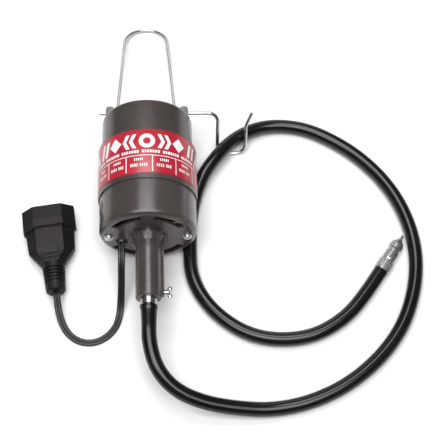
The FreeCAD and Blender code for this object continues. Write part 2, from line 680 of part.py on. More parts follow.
def hanger_bracket():
    body = new_body("hanger_bracket", motor)
    strap = new_sketch(body, "XY_Plane")
    half = dim.strap_width / 2
    draw_box(strap, -dim.strap_length / 2, dim.strap_length / 2, -half, half)
    pad(body, strap, dim.strap_thick, reverse=True)
    for side in (1, -1):
        foot = new_sketch(body, "YZ_Plane", side * dim.lug_near)
        draw_box(foot, -dim.lug_round, dim.lug_round, -dim.rod_station, -0.35)
        pad(body, foot, dim.lug_far - dim.lug_near, reverse=side < 0)
        lug = new_sketch(body, "YZ_Plane", side * dim.lug_near)
        draw_circle(lug, dim.lug_round, (0.0, -dim.rod_station))
        pad(body, lug, dim.lug_far - dim.lug_near, reverse=side < 0)
    round_edges(body, dim.lug_edge, is_lug_rim)
    eye = new_sketch(body, "YZ_Plane")
    draw_circle(eye, dim.rod_hole, (0.0, -dim.rod_station))
    pocket(body, eye, dim.lug_far * 2 + 4, centred=True)
    fixing = new_sketch(body, "XY_Plane")
    for side in (1, -1):
        draw_circle(fixing, dim.bracket_screw_radius + 0.15, (side * dim.bracket_screw_at, 0.0))
    pocket(body, fixing, dim.strap_thick)


def hook_rod():
    top = dim.hook_waist
    wire_body(
        "hook_rod", hook_place,
        [(-dim.rod_stub, 0.0), (dim.hook_left, 0.0), (dim.hook_left, dim.hook_floor),
         (dim.hook_right, dim.hook_floor), (dim.hook_right, top),
         (dim.hook_tip_out, dim.hook_tip_down)],
        [dim.hook_elbow, dim.hook_round, dim.hook_round, dim.hook_flare_radius], dim.rod_radius)


def hanger_bail():
    """A long bail whose two legs end in eyes curled around the rod."""
    eye_circle = dim.rod_radius + dim.eye_gap + dim.eye_radius
    slope = (dim.bail_half.value - dim.bail_round.value) / dim.bail_length.value
    shoulder = dim.bail_round * (1 + slope)
    body = wire_body(
        "hanger_bail", bail_place,
        [(-dim.bail_half, eye_circle), (-dim.bail_half, eye_circle + 6),
         (-shoulder, dim.bail_length), (shoulder, dim.bail_length),
         (dim.bail_half, eye_circle + 6), (dim.bail_half, eye_circle)],
        [dim.bail_flare, dim.bail_arch, dim.bail_arch, dim.bail_flare], dim.rod_radius)
    for side in (1, -1):
        eye = body.newObject("PartDesign::AdditiveTorus", "Eye")
        for name, size in (("Radius1", eye_circle), ("Radius2", dim.eye_radius)):
            setattr(eye, name, size.value)
            bind(eye, name, size)
        eye.AttachmentSupport = [(origin_feature(body, "YZ_Plane"), "")]
        eye.MapMode = "FlatFace"
        eye.AttachmentOffset = turned(Z, 45, V(0, 0, side * dim.bail_half.value))
        bind(eye, ".AttachmentOffset.Base.z", side * dim.bail_half)
        doc.recompute()


# ---------------------------------------------------------------- thumb screw
def thumb_screw():
    place = motor * turned(X, 0, V(0, 0, dim.screw_station.value))
    shank = new_body("thumb_screw_shank", place)
    revolve(shank, [
        (dim.screw_tip, 0.0), (dim.screw_shoulder + 1.6, 0.0),
        (dim.screw_shoulder + 1.6, dim.screw_radius - 0.7),
        (dim.screw_shoulder, dim.screw_radius - 0.7), (dim.screw_shoulder, dim.screw_radius),
        (dim.screw_tip + 0.6, dim.screw_radius), (dim.screw_tip, dim.screw_radius - 0.6)],
        "XY_Plane", "H_Axis")
    wings = new_body("thumb_screw_wings", place)
    bore = dim.screw_radius - 0.65
    revolve(wings, [
        (dim.screw_shoulder + 0.1, bore), (dim.screw_shoulder + 0.1, dim.wing_hub),
        (dim.wing_reach - 1.6, dim.wing_hub - 0.5), (dim.wing_reach - 1.6, 0.0),
        (dim.screw_shoulder + 1.8, 0.0), (dim.screw_shoulder + 1.8, bore)],
        "XY_Plane", "H_Axis")
    blade = new_sketch(wings, "XZ_Plane")
    for side in (1, -1):
        draw_outline(blade, [
            (dim.screw_shoulder + 0.4, side * (bore + 0.3)),
            (dim.screw_shoulder + 1.2, side * (dim.wing_offset + 1.0)),
            (dim.wing_reach - 1.4, side * (dim.wing_offset + dim.wing_lobe)),
            (dim.wing_reach, side * (dim.wing_offset + 1.2)),
            (dim.wing_reach, side * (dim.wing_offset - 0.6)),
            (dim.wing_reach - 1.8, side * (bore + 0.6))])
    pad(wings, blade, dim.wing_thick, centred=True)


# ---------------------------------------------------------------- bearings
def bearing(name, start):
    """Deep-groove ball bearing: two races and a caged set of balls."""
    end = start + dim.bearing_width
    middle = start + dim.bearing_width / 2
    outer = new_body(f"{name}_bearing_outer_race", motor)
    revolve(outer, [(dim.outer_race_bore, start), (dim.race_outer, start),
                    (dim.race_outer, end), (dim.outer_race_bore, end)])
    groove_ring(outer, dim.ball_circle, dim.groove_radius, middle)
    inner = new_body(f"{name}_bearing_inner_race", motor)
    revolve(inner, [(dim.race_bore, start), (dim.inner_race_top, start),
                    (dim.inner_race_top, end), (dim.race_bore, end)])
    groove_ring(inner, dim.ball_circle, dim.groove_radius, middle)
    cage = new_body(f"{name}_bearing_balls", motor)
    low, high = middle - dim.cage_half_height, middle + dim.cage_half_height
    near, far = dim.ball_circle - dim.cage_half_width, dim.ball_circle + dim.cage_half_width
    revolve(cage, [(near, low), (far, low), (far, high), (near, high)])
    ball = cage.newObject("PartDesign::AdditiveSphere", "Ball")
    ball.Radius = dim.ball_radius.value
    bind(ball, "Radius", dim.ball_radius)
    ball.AttachmentSupport = [(origin_feature(cage, "XY_Plane"), "")]
    ball.MapMode = "FlatFace"
    ball.AttachmentOffset = turned(X, 0, V(dim.ball_circle.value, 0, middle.value))
    bind(ball, ".AttachmentOffset.Base.x", dim.ball_circle)
    bind(ball, ".AttachmentOffset.Base.z", middle)
    doc.recompute()
    repeat_around(cage, ball, dim.balls)


# ---------------------------------------------------------------- armature
def armature():
    shaft = new_body("armature_shaft", motor)
    revolve(shaft, [
        (0.0, dim.shaft_start), (dim.shaft_radius - 0.5, dim.shaft_start),
        (dim.shaft_radius, dim.shaft_start + 0.5), (dim.shaft_radius, dim.shaft_end),
        (0.0, dim.shaft_end)])

    core = new_body("armature_core", motor)
    stack = new_sketch(core, "XY_Plane", dim.core_start)
    draw_circle(stack, dim.core_radius)
    draw_circle(stack, dim.shaft_radius)
    pad(core, stack, dim.core_end - dim.core_start)
    slot = new_sketch(core, "XY_Plane", dim.core_end)
    root = dim.core_radius - dim.slot_depth
    draw_outline(slot, [
        (root, -dim.slot_width / 3), (dim.core_radius - 1.6, -dim.slot_width / 2),
        (dim.core_radius - 1.2, -0.8), (dim.core_radius + 1, -0.8), (dim.core_radius + 1, 0.8),
        (dim.core_radius - 1.2, 0.8), (dim.core_radius - 1.6, dim.slot_width / 2),
        (root, dim.slot_width / 3)])
    cut = pocket(core, slot, dim.core_end - dim.core_start)
    repeat_around(core, cut, dim.slots)

    winding = new_body("armature_winding", motor)
    for face, away in ((dim.core_start, -1), (dim.core_end, 1)):
        near, far = face + away * 0.05, face + away * dim.winding_overhang
        revolve(winding, [
            (dim.winding_inner, near), (dim.winding_radius, near),
            (dim.winding_radius - 1.0, far - away * 2.0), (dim.winding_radius - 4.0, far),
            (dim.winding_inner + 2.0, far), (dim.winding_inner, far - away * 2.5)])
        if away < 0:
            bar = new_sketch(winding, "XY_Plane", dim.core_start - 1)
            low, high = root + 0.3, dim.winding_radius + 0.1
            draw_outline(bar, [(low, -dim.slot_width / 3 + 0.25), (high, -dim.slot_width / 2 + 0.3),
                               (high, dim.slot_width / 2 - 0.3), (low, dim.slot_width / 3 - 0.25)])
            leg = pad(winding, bar, dim.core_end - dim.core_start + 2)
            repeat_around(winding, leg, dim.slots)

    commutator = new_body("commutator", motor)
    revolve(commutator, [
        (dim.shaft_radius, dim.commutator_start - 1.5),
        (dim.commutator_radius - 2.5, dim.commutator_start - 1.5),
        (dim.commutator_radius - 2.5, dim.commutator_start),
        (dim.commutator_radius + 0.9, dim.commutator_start),
        (dim.commutator_radius + 0.9, dim.commutator_start + 1.4),
        (dim.commutator_radius, dim.commutator_start + 1.4),
        (dim.commutator_radius, dim.commutator_end), (dim.shaft_radius, dim.commutator_end)])
    gap = new_sketch(commutator, "XY_Plane", dim.commutator_end)
    draw_box(gap, dim.commutator_radius - dim.segment_depth, dim.commutator_radius + 2,
             -dim.segment_gap / 2, dim.segment_gap / 2)
    gap_cut = pocket(commutator, gap, dim.commutator_end - dim.commutator_start)
    repeat_around(commutator, gap_cut, dim.segments)

    fan = new_body("cooling_fan", motor)
    back = dim.fan_start + dim.blade_height + dim.fan_disc
    front = dim.fan_start + dim.blade_height
    revolve(fan, [
        (dim.shaft_radius, dim.fan_start), (dim.fan_hub, dim.fan_start), (dim.fan_hub, front),
        (dim.fan_radius, front), (dim.fan_radius, back), (dim.shaft_radius, back)])
    blade = new_sketch(fan, "XY_Plane", dim.fan_start)
    half = dim.blade_thick / 2
    near, far = around(dim.fan_hub + 2, 0), around(dim.fan_radius - 0.4, 26)
    draw_outline(blade, [
        (near[0] - half, near[1] + half), (near[0] + half, near[1] - half),
        (far[0] + half * 0.7, far[1] - half), (far[0] - half, far[1] + half * 0.7)])
    vane = pad(fan, blade, dim.blade_height + 0.5)
    repeat_around(fan, vane, dim.blades)

    coupling = new_body("shaft_coupling", motor)
    revolve(coupling, [
        (dim.shaft_radius, dim.coupling_start), (dim.coupling_radius - 0.6, dim.coupling_start),
        (dim.coupling_radius, dim.coupling_start + 0.6),
        (dim.coupling_radius, dim.coupling_end - 0.6),
        (dim.coupling_radius - 0.6, dim.coupling_end), (dim.key_radius, dim.coupling_end),
        (dim.key_radius, dim.shaft_end + 1.0), (dim.shaft_radius, dim.shaft_end + 1.0)])

    key = new_body("drive_key", motor)
    revolve(key, [(0.0, dim.key_start), (dim.key_radius - 0.02, dim.key_start),
                  (dim.key_radius - 0.02, dim.key_end), (0.0, dim.key_end)])


# ---------------------------------------------------------------- stator
def stator():
    core = new_body("stator_core", motor)
    length = dim.stator_end - dim.stator_start
    yoke = new_sketch(core, "XY_Plane", dim.stator_start)
    draw_circle(yoke, dim.stator_radius)
    draw_circle(yoke, dim.yoke_inner)
    pad(core, yoke, length)
    neck = new_sketch(core, "XY_Plane", dim.stator_start)
    draw_box(neck, -dim.neck_half, dim.neck_half, dim.shoe_radius - 1.5, dim.yoke_inner + 0.5)
    necks = pad(core, neck, length)
    repeat_around(core, necks, 2)
    boss = new_sketch(core, "XY_Plane", dim.stator_start)
    draw_circle(boss, dim.boss_radius, (dim.bolt_circle, 0.0))
    bosses = pad(core, boss, length)
    repeat_around(core, bosses, 2)
    shoe = new_sketch(core, "XY_Plane", dim.stator_start)
    draw_circle(shoe, dim.shoe_radius)
    draw_circle(shoe, dim.pole_bore)
    pad(core, shoe, length)
    gap = new_sketch(core, "XY_Plane", dim.stator_end)
    draw_box(gap, dim.pole_bore - 5, dim.shoe_radius + 0.6, -dim.shoe_half_gap, dim.shoe_half_gap)
    gaps = pocket(core, gap, length)
    repeat_around(core, gaps, 2)
    hole = new_sketch(core, "XY_Plane", dim.stator_end)
    draw_circle(hole, dim.bolt_hole, (dim.bolt_circle, 0.0))
    holes = pocket(core, hole, length)
    repeat_around(core, holes, 2)

    for name, side in (("upper", 1), ("lower", -1)):
        coil = new_body(f"field_coil_{name}", motor)
        level = dim.coil_inner if side > 0 else dim.coil_outer
        loop = new_sketch(coil, "XZ_Plane", -side * level)
        inside = dim.neck_half + dim.coil_gap
        draw_box(loop, -dim.coil_half, dim.coil_half, dim.stator_start - dim.coil_overhang,
                 dim.stator_end + dim.coil_overhang)
        draw_box(loop, -inside, inside, dim.stator_start - dim.coil_gap,
                 dim.stator_end + dim.coil_gap)
        pad(coil, loop, dim.coil_outer - dim.coil_inner, reverse=True)
        corner_reach = dim.coil_half.value - 0.01
        round_edges(coil, dim.coil_corner,
                    lambda edge: edge.Length < 3 and abs(edge.CenterOfMass.x) > corner_reach)


# ---------------------------------------------------------------- brush gear
def brush_gear(side, angle):
    place = motor * FreeCAD.Placement(V(0, 0, dim.brush_station.value), FreeCAD.Rotation(Z, angle))
    holder = new_body(f"brush_holder_{side}", place)
    revolve(holder, [
        (dim.holder_start, dim.holder_bore), (dim.holder_end, dim.holder_bore),
        (dim.holder_end, dim.holder_radius), (dim.holder_start, dim.holder_radius)],
        "XY_Plane", "H_Axis")

    brush = new_body(f"carbon_brush_{side}", place)
    section = new_sketch(brush, "YZ_Plane", dim.brush_start)
    half = dim.brush_side / 2
    draw_box(section, -half, half, -half, half)
    pad(brush, section, dim.brush_end - dim.brush_start)

    helix = doc.addObject("Part::Helix", f"SpringLine_{side}")
    helix.Pitch = dim.spring_pitch.value
    helix.Height = dim.spring_length.value
    helix.Radius = dim.spring_radius.value
    bind(helix, "Pitch", dim.spring_pitch)
    bind(helix, "Height", dim.spring_length)
    bind(helix, "Radius", dim.spring_radius)
    ring = doc.addObject("Part::Circle", f"SpringSection_{side}")
    ring.Radius = dim.spring_wire.value
    bind(ring, "Radius", dim.spring_wire)
    ring.Placement = FreeCAD.Placement(V(dim.spring_radius.value, 0, 0), FreeCAD.Rotation(X, 90))
    spring = doc.addObject("Part::Sweep", f"brush_spring_{side}")
    spring.Label = f"brush_spring_{side}"
    spring.Sections = [ring]
    spring.Spine = (helix, ["Edge1"])
    spring.Solid = True
    spring.Frenet = True
    spring.Placement = place * FreeCAD.Placement(V(dim.spring_start.value, 0, 0),
                                                 FreeCAD.Rotation(Y, 90))
    subparts.append(spring)

    cap = new_body(f"brush_cap_{side}", place)
    face = dim.brush_cap_end
    revolve(cap, [
        (dim.holder_end + 0.1, 0.0), (face, 0.0), (face, dim.brush_cap_radius - 0.6),
        (face - 0.6, dim.brush_cap_radius), (dim.holder_end + 0.1, dim.brush_cap_radius)],
        "XY_Plane", "H_Axis")
    slot = new_sketch(cap, "YZ_Plane", face)
    half = dim.cap_slot_width / 2
    draw_box(slot, -half, half, -dim.brush_cap_radius, dim.brush_cap_radius)
    pocket(cap, slot, dim.cap_slot_depth)


# ---------------------------------------------------------------- electrical fittings
def capacitor():
    place = motor * FreeCAD.Placement(V(0, 0, dim.capacitor_start.value),
                                      FreeCAD.Rotation(Z, dim.capacitor_angle.value))
    body = new_body("suppression_capacitor", place)
    case = new_sketch(body, "XY_Plane")
    half = dim.capacitor_width / 2
    near = dim.capacitor_radius - dim.capacitor_thick / 2
    draw_box(case, near, near + dim.capacitor_thick, -half, half)
    pad(body, case, dim.capacitor_end - dim.capacitor_start)
    round_edges(body, 1.5, lambda edge: True)


def grommet():
    across, up = around(dim.grommet_circle, dim.grommet_angle)
    place = motor * turned(X, 0, V(across.value, up.value, 0))
    body = new_body("cord_grommet", place)
    inside = dim.bell_end - dim.bell_plate
    neck = dim.grommet_hole - 0.05
    bore = dim.cord_radius + dim.cord_clearance
    revolve(body, [
        (bore, inside - 2), (dim.grommet_radius, inside - 2), (dim.grommet_radius, inside),
        (neck, inside), (neck, dim.bell_end), (dim.grommet_radius, dim.bell_end),
        (dim.grommet_radius - 0.4, dim.bell_end + 1.6), (neck, dim.grommet_end),
        (bore, dim.grommet_end)])


def lead_wires():
    shapes = []
    for index, route in enumerate(LEAD_ROUTES):
        corners = [V(dim.axis_x.value + x, dim.cover_end_y.value - z, y) for x, y, z in route]
        shapes.append(tube(corners, 0.9, f"lead {index + 1}"))
    new_shape("lead_wires", Part.makeCompound(shapes))


# ---------------------------------------------------------------- flexible shaft
def flexible_shaft():
    ferrule = new_body("motor_end_ferrule", motor)
    start, end = dim.ferrule_start, dim.ferrule_end
    revolve(ferrule, [
        (dim.ferrule_bore, start), (dim.ferrule_radius - 0.6, start),
        (dim.ferrule_radius, start + 0.6), (dim.ferrule_radius, end - 0.5),
        (dim.ferrule_radius - 0.5, end), (dim.socket_radius, end),
        (dim.socket_radius, dim.socket_start), (dim.ferrule_bore, dim.socket_start)])
    sleeve = new_body("motor_end_sleeve", motor)
    bore = dim.sleeve_bore
    revolve(sleeve, [
        (bore, end + 0.1), (dim.sleeve_radius, end + 0.1),
        (dim.sleeve_end_radius, end + dim.sleeve_length), (bore, end + dim.sleeve_length)])
    corners = [route_point(corner) for corner in SHEATH_ROUTE]
    new_shape("flex_sheath", tube(corners, dim.sheath_radius.value, "sheath",
                                  dim.sheath_bore.value))
    new_shape("drive_core", tube(corners, dim.core_wire_radius.value, "drive core"))


def handpiece_end():
    crimp = new_body("handpiece_ferrule", end_place)
    revolve(crimp, [
        (0.0, dim.socket_radius), (dim.crimp_socket, dim.socket_radius),
        (dim.crimp_socket, dim.crimp_bore), (dim.crimp_length, dim.crimp_bore),
        (dim.crimp_length, dim.crimp_radius - 0.9), (dim.crimp_length - 1.2, dim.crimp_radius),
        (0.6, dim.crimp_radius), (0.0, dim.crimp_radius - 0.4)], "XY_Plane", "H_Axis")
    notch = new_sketch(crimp, "YZ_Plane", 1.2)
    draw_circle(notch, dim.crimp_groove, (dim.crimp_radius, 0.0))
    line = pocket(crimp, notch, dim.crimp_length - 3.0, reverse=True)
    repeat_around(crimp, line, dim.crimp_grooves, "X_Axis")

    body = new_body("slip_joint_body", end_place)
    bore = dim.slip_bore
    revolve(body, [
        (dim.crimp_length, bore), (dim.crimp_length, dim.slip_root),
        (dim.crimp_length + 1.0, dim.slip_waist), (dim.slip_waist_end, dim.slip_waist),
        (dim.slip_waist_end + 1.5, dim.slip_neck), (dim.slip_collar_start - 1.0, dim.slip_neck),
        (dim.slip_collar_start, dim.slip_collar), (dim.slip_end - 5.0, dim.slip_collar),
        (dim.slip_end - 2.2, dim.slip_collar - 1.1), (dim.slip_end - 0.6, dim.slip_nose + 1.0),
        (dim.slip_end, dim.slip_nose), (dim.slip_end, bore)], "XY_Plane", "H_Axis")

    bush = new_body("tip_bush", end_place)
    revolve(bush, [
        (dim.slip_waist_end, dim.bush_bore), (dim.slip_waist_end, bore - 0.02),
        (dim.slip_end - 1.0, bore - 0.02), (dim.slip_end - 1.0, dim.bush_bore)],
        "XY_Plane", "H_Axis")

    tip = new_body("drive_tip", end_place)
    step = dim.tip_step + 0.7
    revolve(tip, [
        (dim.tip_start, 0.0), (dim.tip_start, dim.tip_radius), (step, dim.tip_radius),
        (step, dim.tip_shoulder), (step + 1.2, dim.tip_shoulder),
        (step + 1.8, dim.tip_radius), (step + 3.4, dim.tip_radius),
        (dim.tip_end - 0.4, dim.tip_point), (dim.tip_end, dim.tip_point - 0.4),
        (dim.tip_end, 0.0)], "XY_Plane", "H_Axis")


# ---------------------------------------------------------------- mains cord and connector
def octagon(sketch, width, thick):
    """A flat-topped section with sloping shoulders, about the connector's axis."""
    side, top = width / 2, thick / 2
    flat, low = width * 0.27, thick * 0.14
    draw_outline(sketch, [
        (flat, -top), (side, -low), (side, low), (flat, top),
        (-flat, top), (-side, low), (-side, -low), (-flat, -top)])


def connector():
    boot = new_body("connector_boot", plug_place)
    slope = (dim.boot_end_radius - dim.boot_start_radius) / dim.boot_length
    bore = dim.cord_radius + dim.cord_clearance
    revolve(boot, [
        (bore, 0.0), (dim.boot_start_radius - 1.2, 0.0), (dim.boot_start_radius, 1.2),
        (dim.boot_end_radius, dim.boot_length), (0.0, dim.boot_length), (0.0, dim.boot_socket),
        (bore, dim.boot_socket)], "XY_Plane", "V_Axis")
    rib_from = dim.boot_rib_first
    at = dim.boot_start_radius + slope * rib_from - dim.boot_rib_depth
    first = revolve(boot, [
        (at, rib_from), (at + 4, rib_from), (at + 4, rib_from + dim.boot_rib),
        (at, rib_from + dim.boot_rib)], "XY_Plane", "V_Axis", cut=True)
    repeat_along(boot, first, "Y_Axis", dim.boot_rib_pitch * (dim.boot_ribs - 1), dim.boot_ribs)

    shell = new_body("connector_shell", plug_place)
    sections = []
    for station, width, thick in (
            (dim.boot_length, dim.root_width, dim.root_thick),
            (dim.shoulder_at, dim.shoulder_width, dim.shoulder_thick),
            (dim.head_collar + 0.5, dim.head_width, dim.head_thick)):
        section = new_sketch(shell, "XZ_Plane", -station)
        octagon(section, width, thick)
        sections.append(section)
    loft = shell.newObject("PartDesign::AdditiveLoft", "Shoulders")
    loft.Profile = sections[0]
    loft.Sections = sections[1:]
    loft.Ruled = True
    doc.recompute()
    collar = new_sketch(shell, "XZ_Plane", -dim.head_collar)
    octagon(collar, dim.collar_width, dim.collar_thick)
    pad(shell, collar, dim.head_end - dim.head_collar, reverse=True)
    panel = new_sketch(shell, "XY_Plane", dim.shoulder_thick / 2 - 1.0)
    draw_box(panel, -dim.panel_half, dim.panel_half, dim.panel_from, dim.panel_to)
    pad(shell, panel, dim.panel_rise + 1.2)
    recess = new_sketch(shell, "XZ_Plane", -dim.head_end)
    octagon(recess, dim.recess_width, dim.recess_thick)
    pocket(shell, recess, dim.recess_depth, reverse=True)

    insert = new_body("connector_insert", plug_place)
    block = new_sketch(insert, "XZ_Plane", -dim.insert_from)
    octagon(block, dim.insert_width, dim.insert_thick)
    pad(insert, block, dim.insert_to - dim.insert_from, reverse=True)
    ways = new_sketch(insert, "XZ_Plane", -dim.insert_to)
    seats = new_sketch(insert, "XZ_Plane", -dim.insert_from)
    for side in (1, -1):
        draw_circle(ways, dim.contact_entry, (side * dim.contact_pitch / 2, 0.0))
        draw_circle(seats, dim.contact_radius + 0.02, (side * dim.contact_pitch / 2, 0.0))
    pocket(insert, ways, dim.insert_to - dim.insert_from, reverse=True)
    pocket(insert, seats, dim.contact_to - dim.insert_from + 0.1)

    contacts = new_body("contact_sleeves", plug_place, many=True)
    ring = new_sketch(contacts, "XZ_Plane", -dim.contact_from)
    for side in (1, -1):
        draw_circle(ring, dim.contact_radius, (side * dim.contact_pitch / 2, 0.0))
        draw_circle(ring, dim.contact_bore, (side * dim.contact_pitch / 2, 0.0))
    pad(contacts, ring, dim.contact_to - dim.contact_from, reverse=True)


def power_cord():
    corners = [route_point(corner) for corner in CORD_ROUTE]
    new_shape("power_cord", tube(corners, dim.cord_radius.value, "power cord"))


# ---------------------------------------------------------------- the whole tool
def build():
    top_cover()
    field_housing()
    label_band()
    lower_bell()
    nose_tube()
    bolt_group("bell_bolts", dim.bell_end, dim.bolt_tip, dim.bolt_circle, dim.bolt_radius,
               dim.head_radius, dim.head_height, True)
    hanger_bracket()
    bolt_group("bracket_screws", -dim.strap_thick, dim.bracket_screw_length - dim.strap_thick,
               dim.bracket_screw_at, dim.bracket_screw_radius, dim.bracket_head_radius,
               dim.bracket_head_height, False)
    hook_rod()
    hanger_bail()
    thumb_screw()
    bearing("upper", dim.upper_bearing)
    bearing("lower", dim.lower_bearing)
    armature()
    stator()
    brush_gear("left", dim.brush_angle.value)
    brush_gear("right", dim.brush_angle.value + 180)
    capacitor()
    grommet()
    lead_wires()
    flexible_shaft()
    handpiece_end()
    connector()
    power_cord()
    doc.recompute()


def check():
    """Stop if any feature failed, any shape is bad or any cut removed nothing."""
    faults = []
    for item in doc.Objects:
        if "Invalid" in item.State or "Error" in item.State:
            owner = item.getParentGeoFeatureGroup()
            where = f" of {owner.Label}" if owner else ""
            faults.append(f"{item.Label}{where} failed: {item.getStatusString()}")
    for item in subparts:
        if item.Shape.isNull() or not item.Shape.isValid() or not item.Shape.Solids:
            faults.append(f"{item.Label} has a bad shape")
    for cut in cuts:
        if cut.Shape.isNull() or cut.Shape.Volume > cut.BaseFeature.Shape.Volume - 1e-4:
            faults.append(f"{cut.Label} of {cut.getParentGeoFeatureGroup().Label} cuts nothing")
    if faults:
        raise RuntimeError("; ".join(faults))


def report_box():
    """Print the box of everything that isn't on a cord, whose base centre is the origin."""
    on_cords = ("flex_sheath", "drive_core", "motor_end_sleeve", "handpiece_ferrule",
                "slip_joint_body", "tip_bush", "drive_tip", "power_cord", "connector_boot",
                "connector_shell", "connector_insert", "contact_sleeves")
    box = FreeCAD.BoundBox()
    for item in subparts:
        if item.Label not in on_cords:
            box.add(item.Shape.optimalBoundingBox(False, False))
    print(f"box middle {box.Center.x:.3f}, {box.Center.y:.3f}, base {box.ZMin:.3f}")
    print(f"box size {box.XLength:.1f}, {box.YLength:.1f}, {box.ZLength:.1f}")
    for item in subparts:
        low = item.Shape.optimalBoundingBox(False, False).ZMin
        if low < 0.3:
            print(f"{item.Label} lies {low:.3f} above the surface")


def write_steps():
    os.makedirs("parts", exist_ok=True)
    for item in subparts:
        item.Shape.exportStep(os.path.join("parts", f"{item.Label}.step"))
    print(f"{len(subparts)} sub-parts written")


build()
check()
report_box()
write_steps()
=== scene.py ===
"""Hanging rotary tool with a flexible drive shaft: the looks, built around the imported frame."""
import json
import math
import bmesh
import bpy
from mathutils import Matrix, Vector


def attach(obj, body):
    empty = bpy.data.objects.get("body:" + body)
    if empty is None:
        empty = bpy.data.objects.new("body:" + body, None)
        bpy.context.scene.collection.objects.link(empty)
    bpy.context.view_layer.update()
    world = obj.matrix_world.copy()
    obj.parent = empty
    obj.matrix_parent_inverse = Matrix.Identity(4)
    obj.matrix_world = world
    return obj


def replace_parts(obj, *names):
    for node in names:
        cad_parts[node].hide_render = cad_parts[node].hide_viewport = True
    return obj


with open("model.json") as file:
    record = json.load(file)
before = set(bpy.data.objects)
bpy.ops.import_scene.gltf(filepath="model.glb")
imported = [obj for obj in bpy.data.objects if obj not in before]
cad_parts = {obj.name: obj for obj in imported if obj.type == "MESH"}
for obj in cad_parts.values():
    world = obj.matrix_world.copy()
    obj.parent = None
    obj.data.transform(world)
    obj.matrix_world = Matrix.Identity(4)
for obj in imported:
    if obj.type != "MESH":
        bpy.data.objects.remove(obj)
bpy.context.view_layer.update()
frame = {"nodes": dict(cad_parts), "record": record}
scene = bpy.context.scene
scene.view_settings.view_transform = "Standard"
MM = 0.001

# ---------------------------------------------------------------- places (mm in the row frame)
AXIS_X, COVER_END_Y, AXIS_HEIGHT = -26.803, 20.352, 42.8
ROLL = math.radians(3.0)
motor = (Matrix.Translation(Vector((AXIS_X, COVER_END_Y, AXIS_HEIGHT)) * MM)
         @ Matrix.Rotation(math.pi / 2, 4, "X") @ Matrix.Rotation(-ROLL, 4, "Z"))


def route_point(corner):
    """(right of the motor axis, beyond the closed end, height) in mm to the row frame in m."""
    right, beyond, height = corner
    return Vector((AXIS_X + right, COVER_END_Y + beyond, height)) * MM


SHEATH_ROUTE = [
    (0, -168, 42.8), (0, -189, 42.8), (-0.5, -208.5, 39), (5.5, -230.5, 33.6), (20.5, -246, 25.6),
    (43.5, -254.5, 18), (70, -258, 11.6), (97.5, -259, 6.3), (130, -254, 6.3),
    (164.5, -239, 6.3), (196.5, -213, 6.3), (219.5, -180.5, 6.3), (233, -136.5, 6.3),
    (232, -95, 6.3), (218, -54, 6.3), (191, -18.5, 6.3), (156, 7, 6.3), (129, 15.5, 6.3),
    (103, 14, 8), (79.5, 1.5, 10.6), (63, -18, 14.9), (46.5, -41, 12.6), (36.5, -72.5, 6.3),
    (34.5, -103.5, 6.3), (34.5, -139, 6.3), (53, -172, 6.3), (87, -196.5, 6.3),
    (130.5, -199, 6.3), (164, -182.5, 6.3), (187.5, -156.3, 6.95), (204.7, -131.7, 6.95),
]
CORD_ROUTE = [
    (-23.2, -110, 34.4), (-23.3, -119.5, 34.3), (-23.6, -129.5, 31.5), (-24.1, -138.5, 25.5),
    (-24.8, -147, 17.5), (-25.8, -156.5, 9), (-27.2, -167, 3), (-30, -178, 1.7),
    (-37.5, -187.5, 1.7), (-49, -193, 1.7), (-61.5, -191.5, 1.7), (-71.5, -184, 2.2),
    (-77.3, -173, 6.5), (-79.7, -160.9, 11.8), (-82.2, -141.1, 11.8),
]


# ---------------------------------------------------------------- camera
CAMERA_PLACE = (0.020838, -0.488231, 0.818499)
CAMERA_LOOK = (0.019497, 0.461337, -0.887011)
SENSOR_WIDTH, FOCAL_LENGTH = 36.0, 82.37

camera_data = bpy.data.cameras.new("camera")
camera_data.sensor_width = SENSOR_WIDTH
camera_data.lens = FOCAL_LENGTH
camera = bpy.data.objects.new("camera", camera_data)
camera.location = CAMERA_PLACE
camera.rotation_mode = "QUATERNION"
camera.rotation_quaternion = Vector(CAMERA_LOOK).to_track_quat("-Z", "Y")
scene.collection.objects.link(camera)
scene.camera = camera


# ---------------------------------------------------------------- materials
MIX_A, MIX_B, MIX_RESULT = 6, 7, 2      # the colour sockets of a Mix node
BAND_SCALE = 0.3183                     # wave scale for about one band in a metre
EDGE_SPAN = (0.02, 0.25)                # how far the normals part, from no edge to full edge
TONE_SPAN, SPECK_SPAN = (0.1, 0.6), (0.6, 0.75)
RUB_SCALE, RUB_LEAST, RUB_MOST = 500.0, 0.1, 0.7


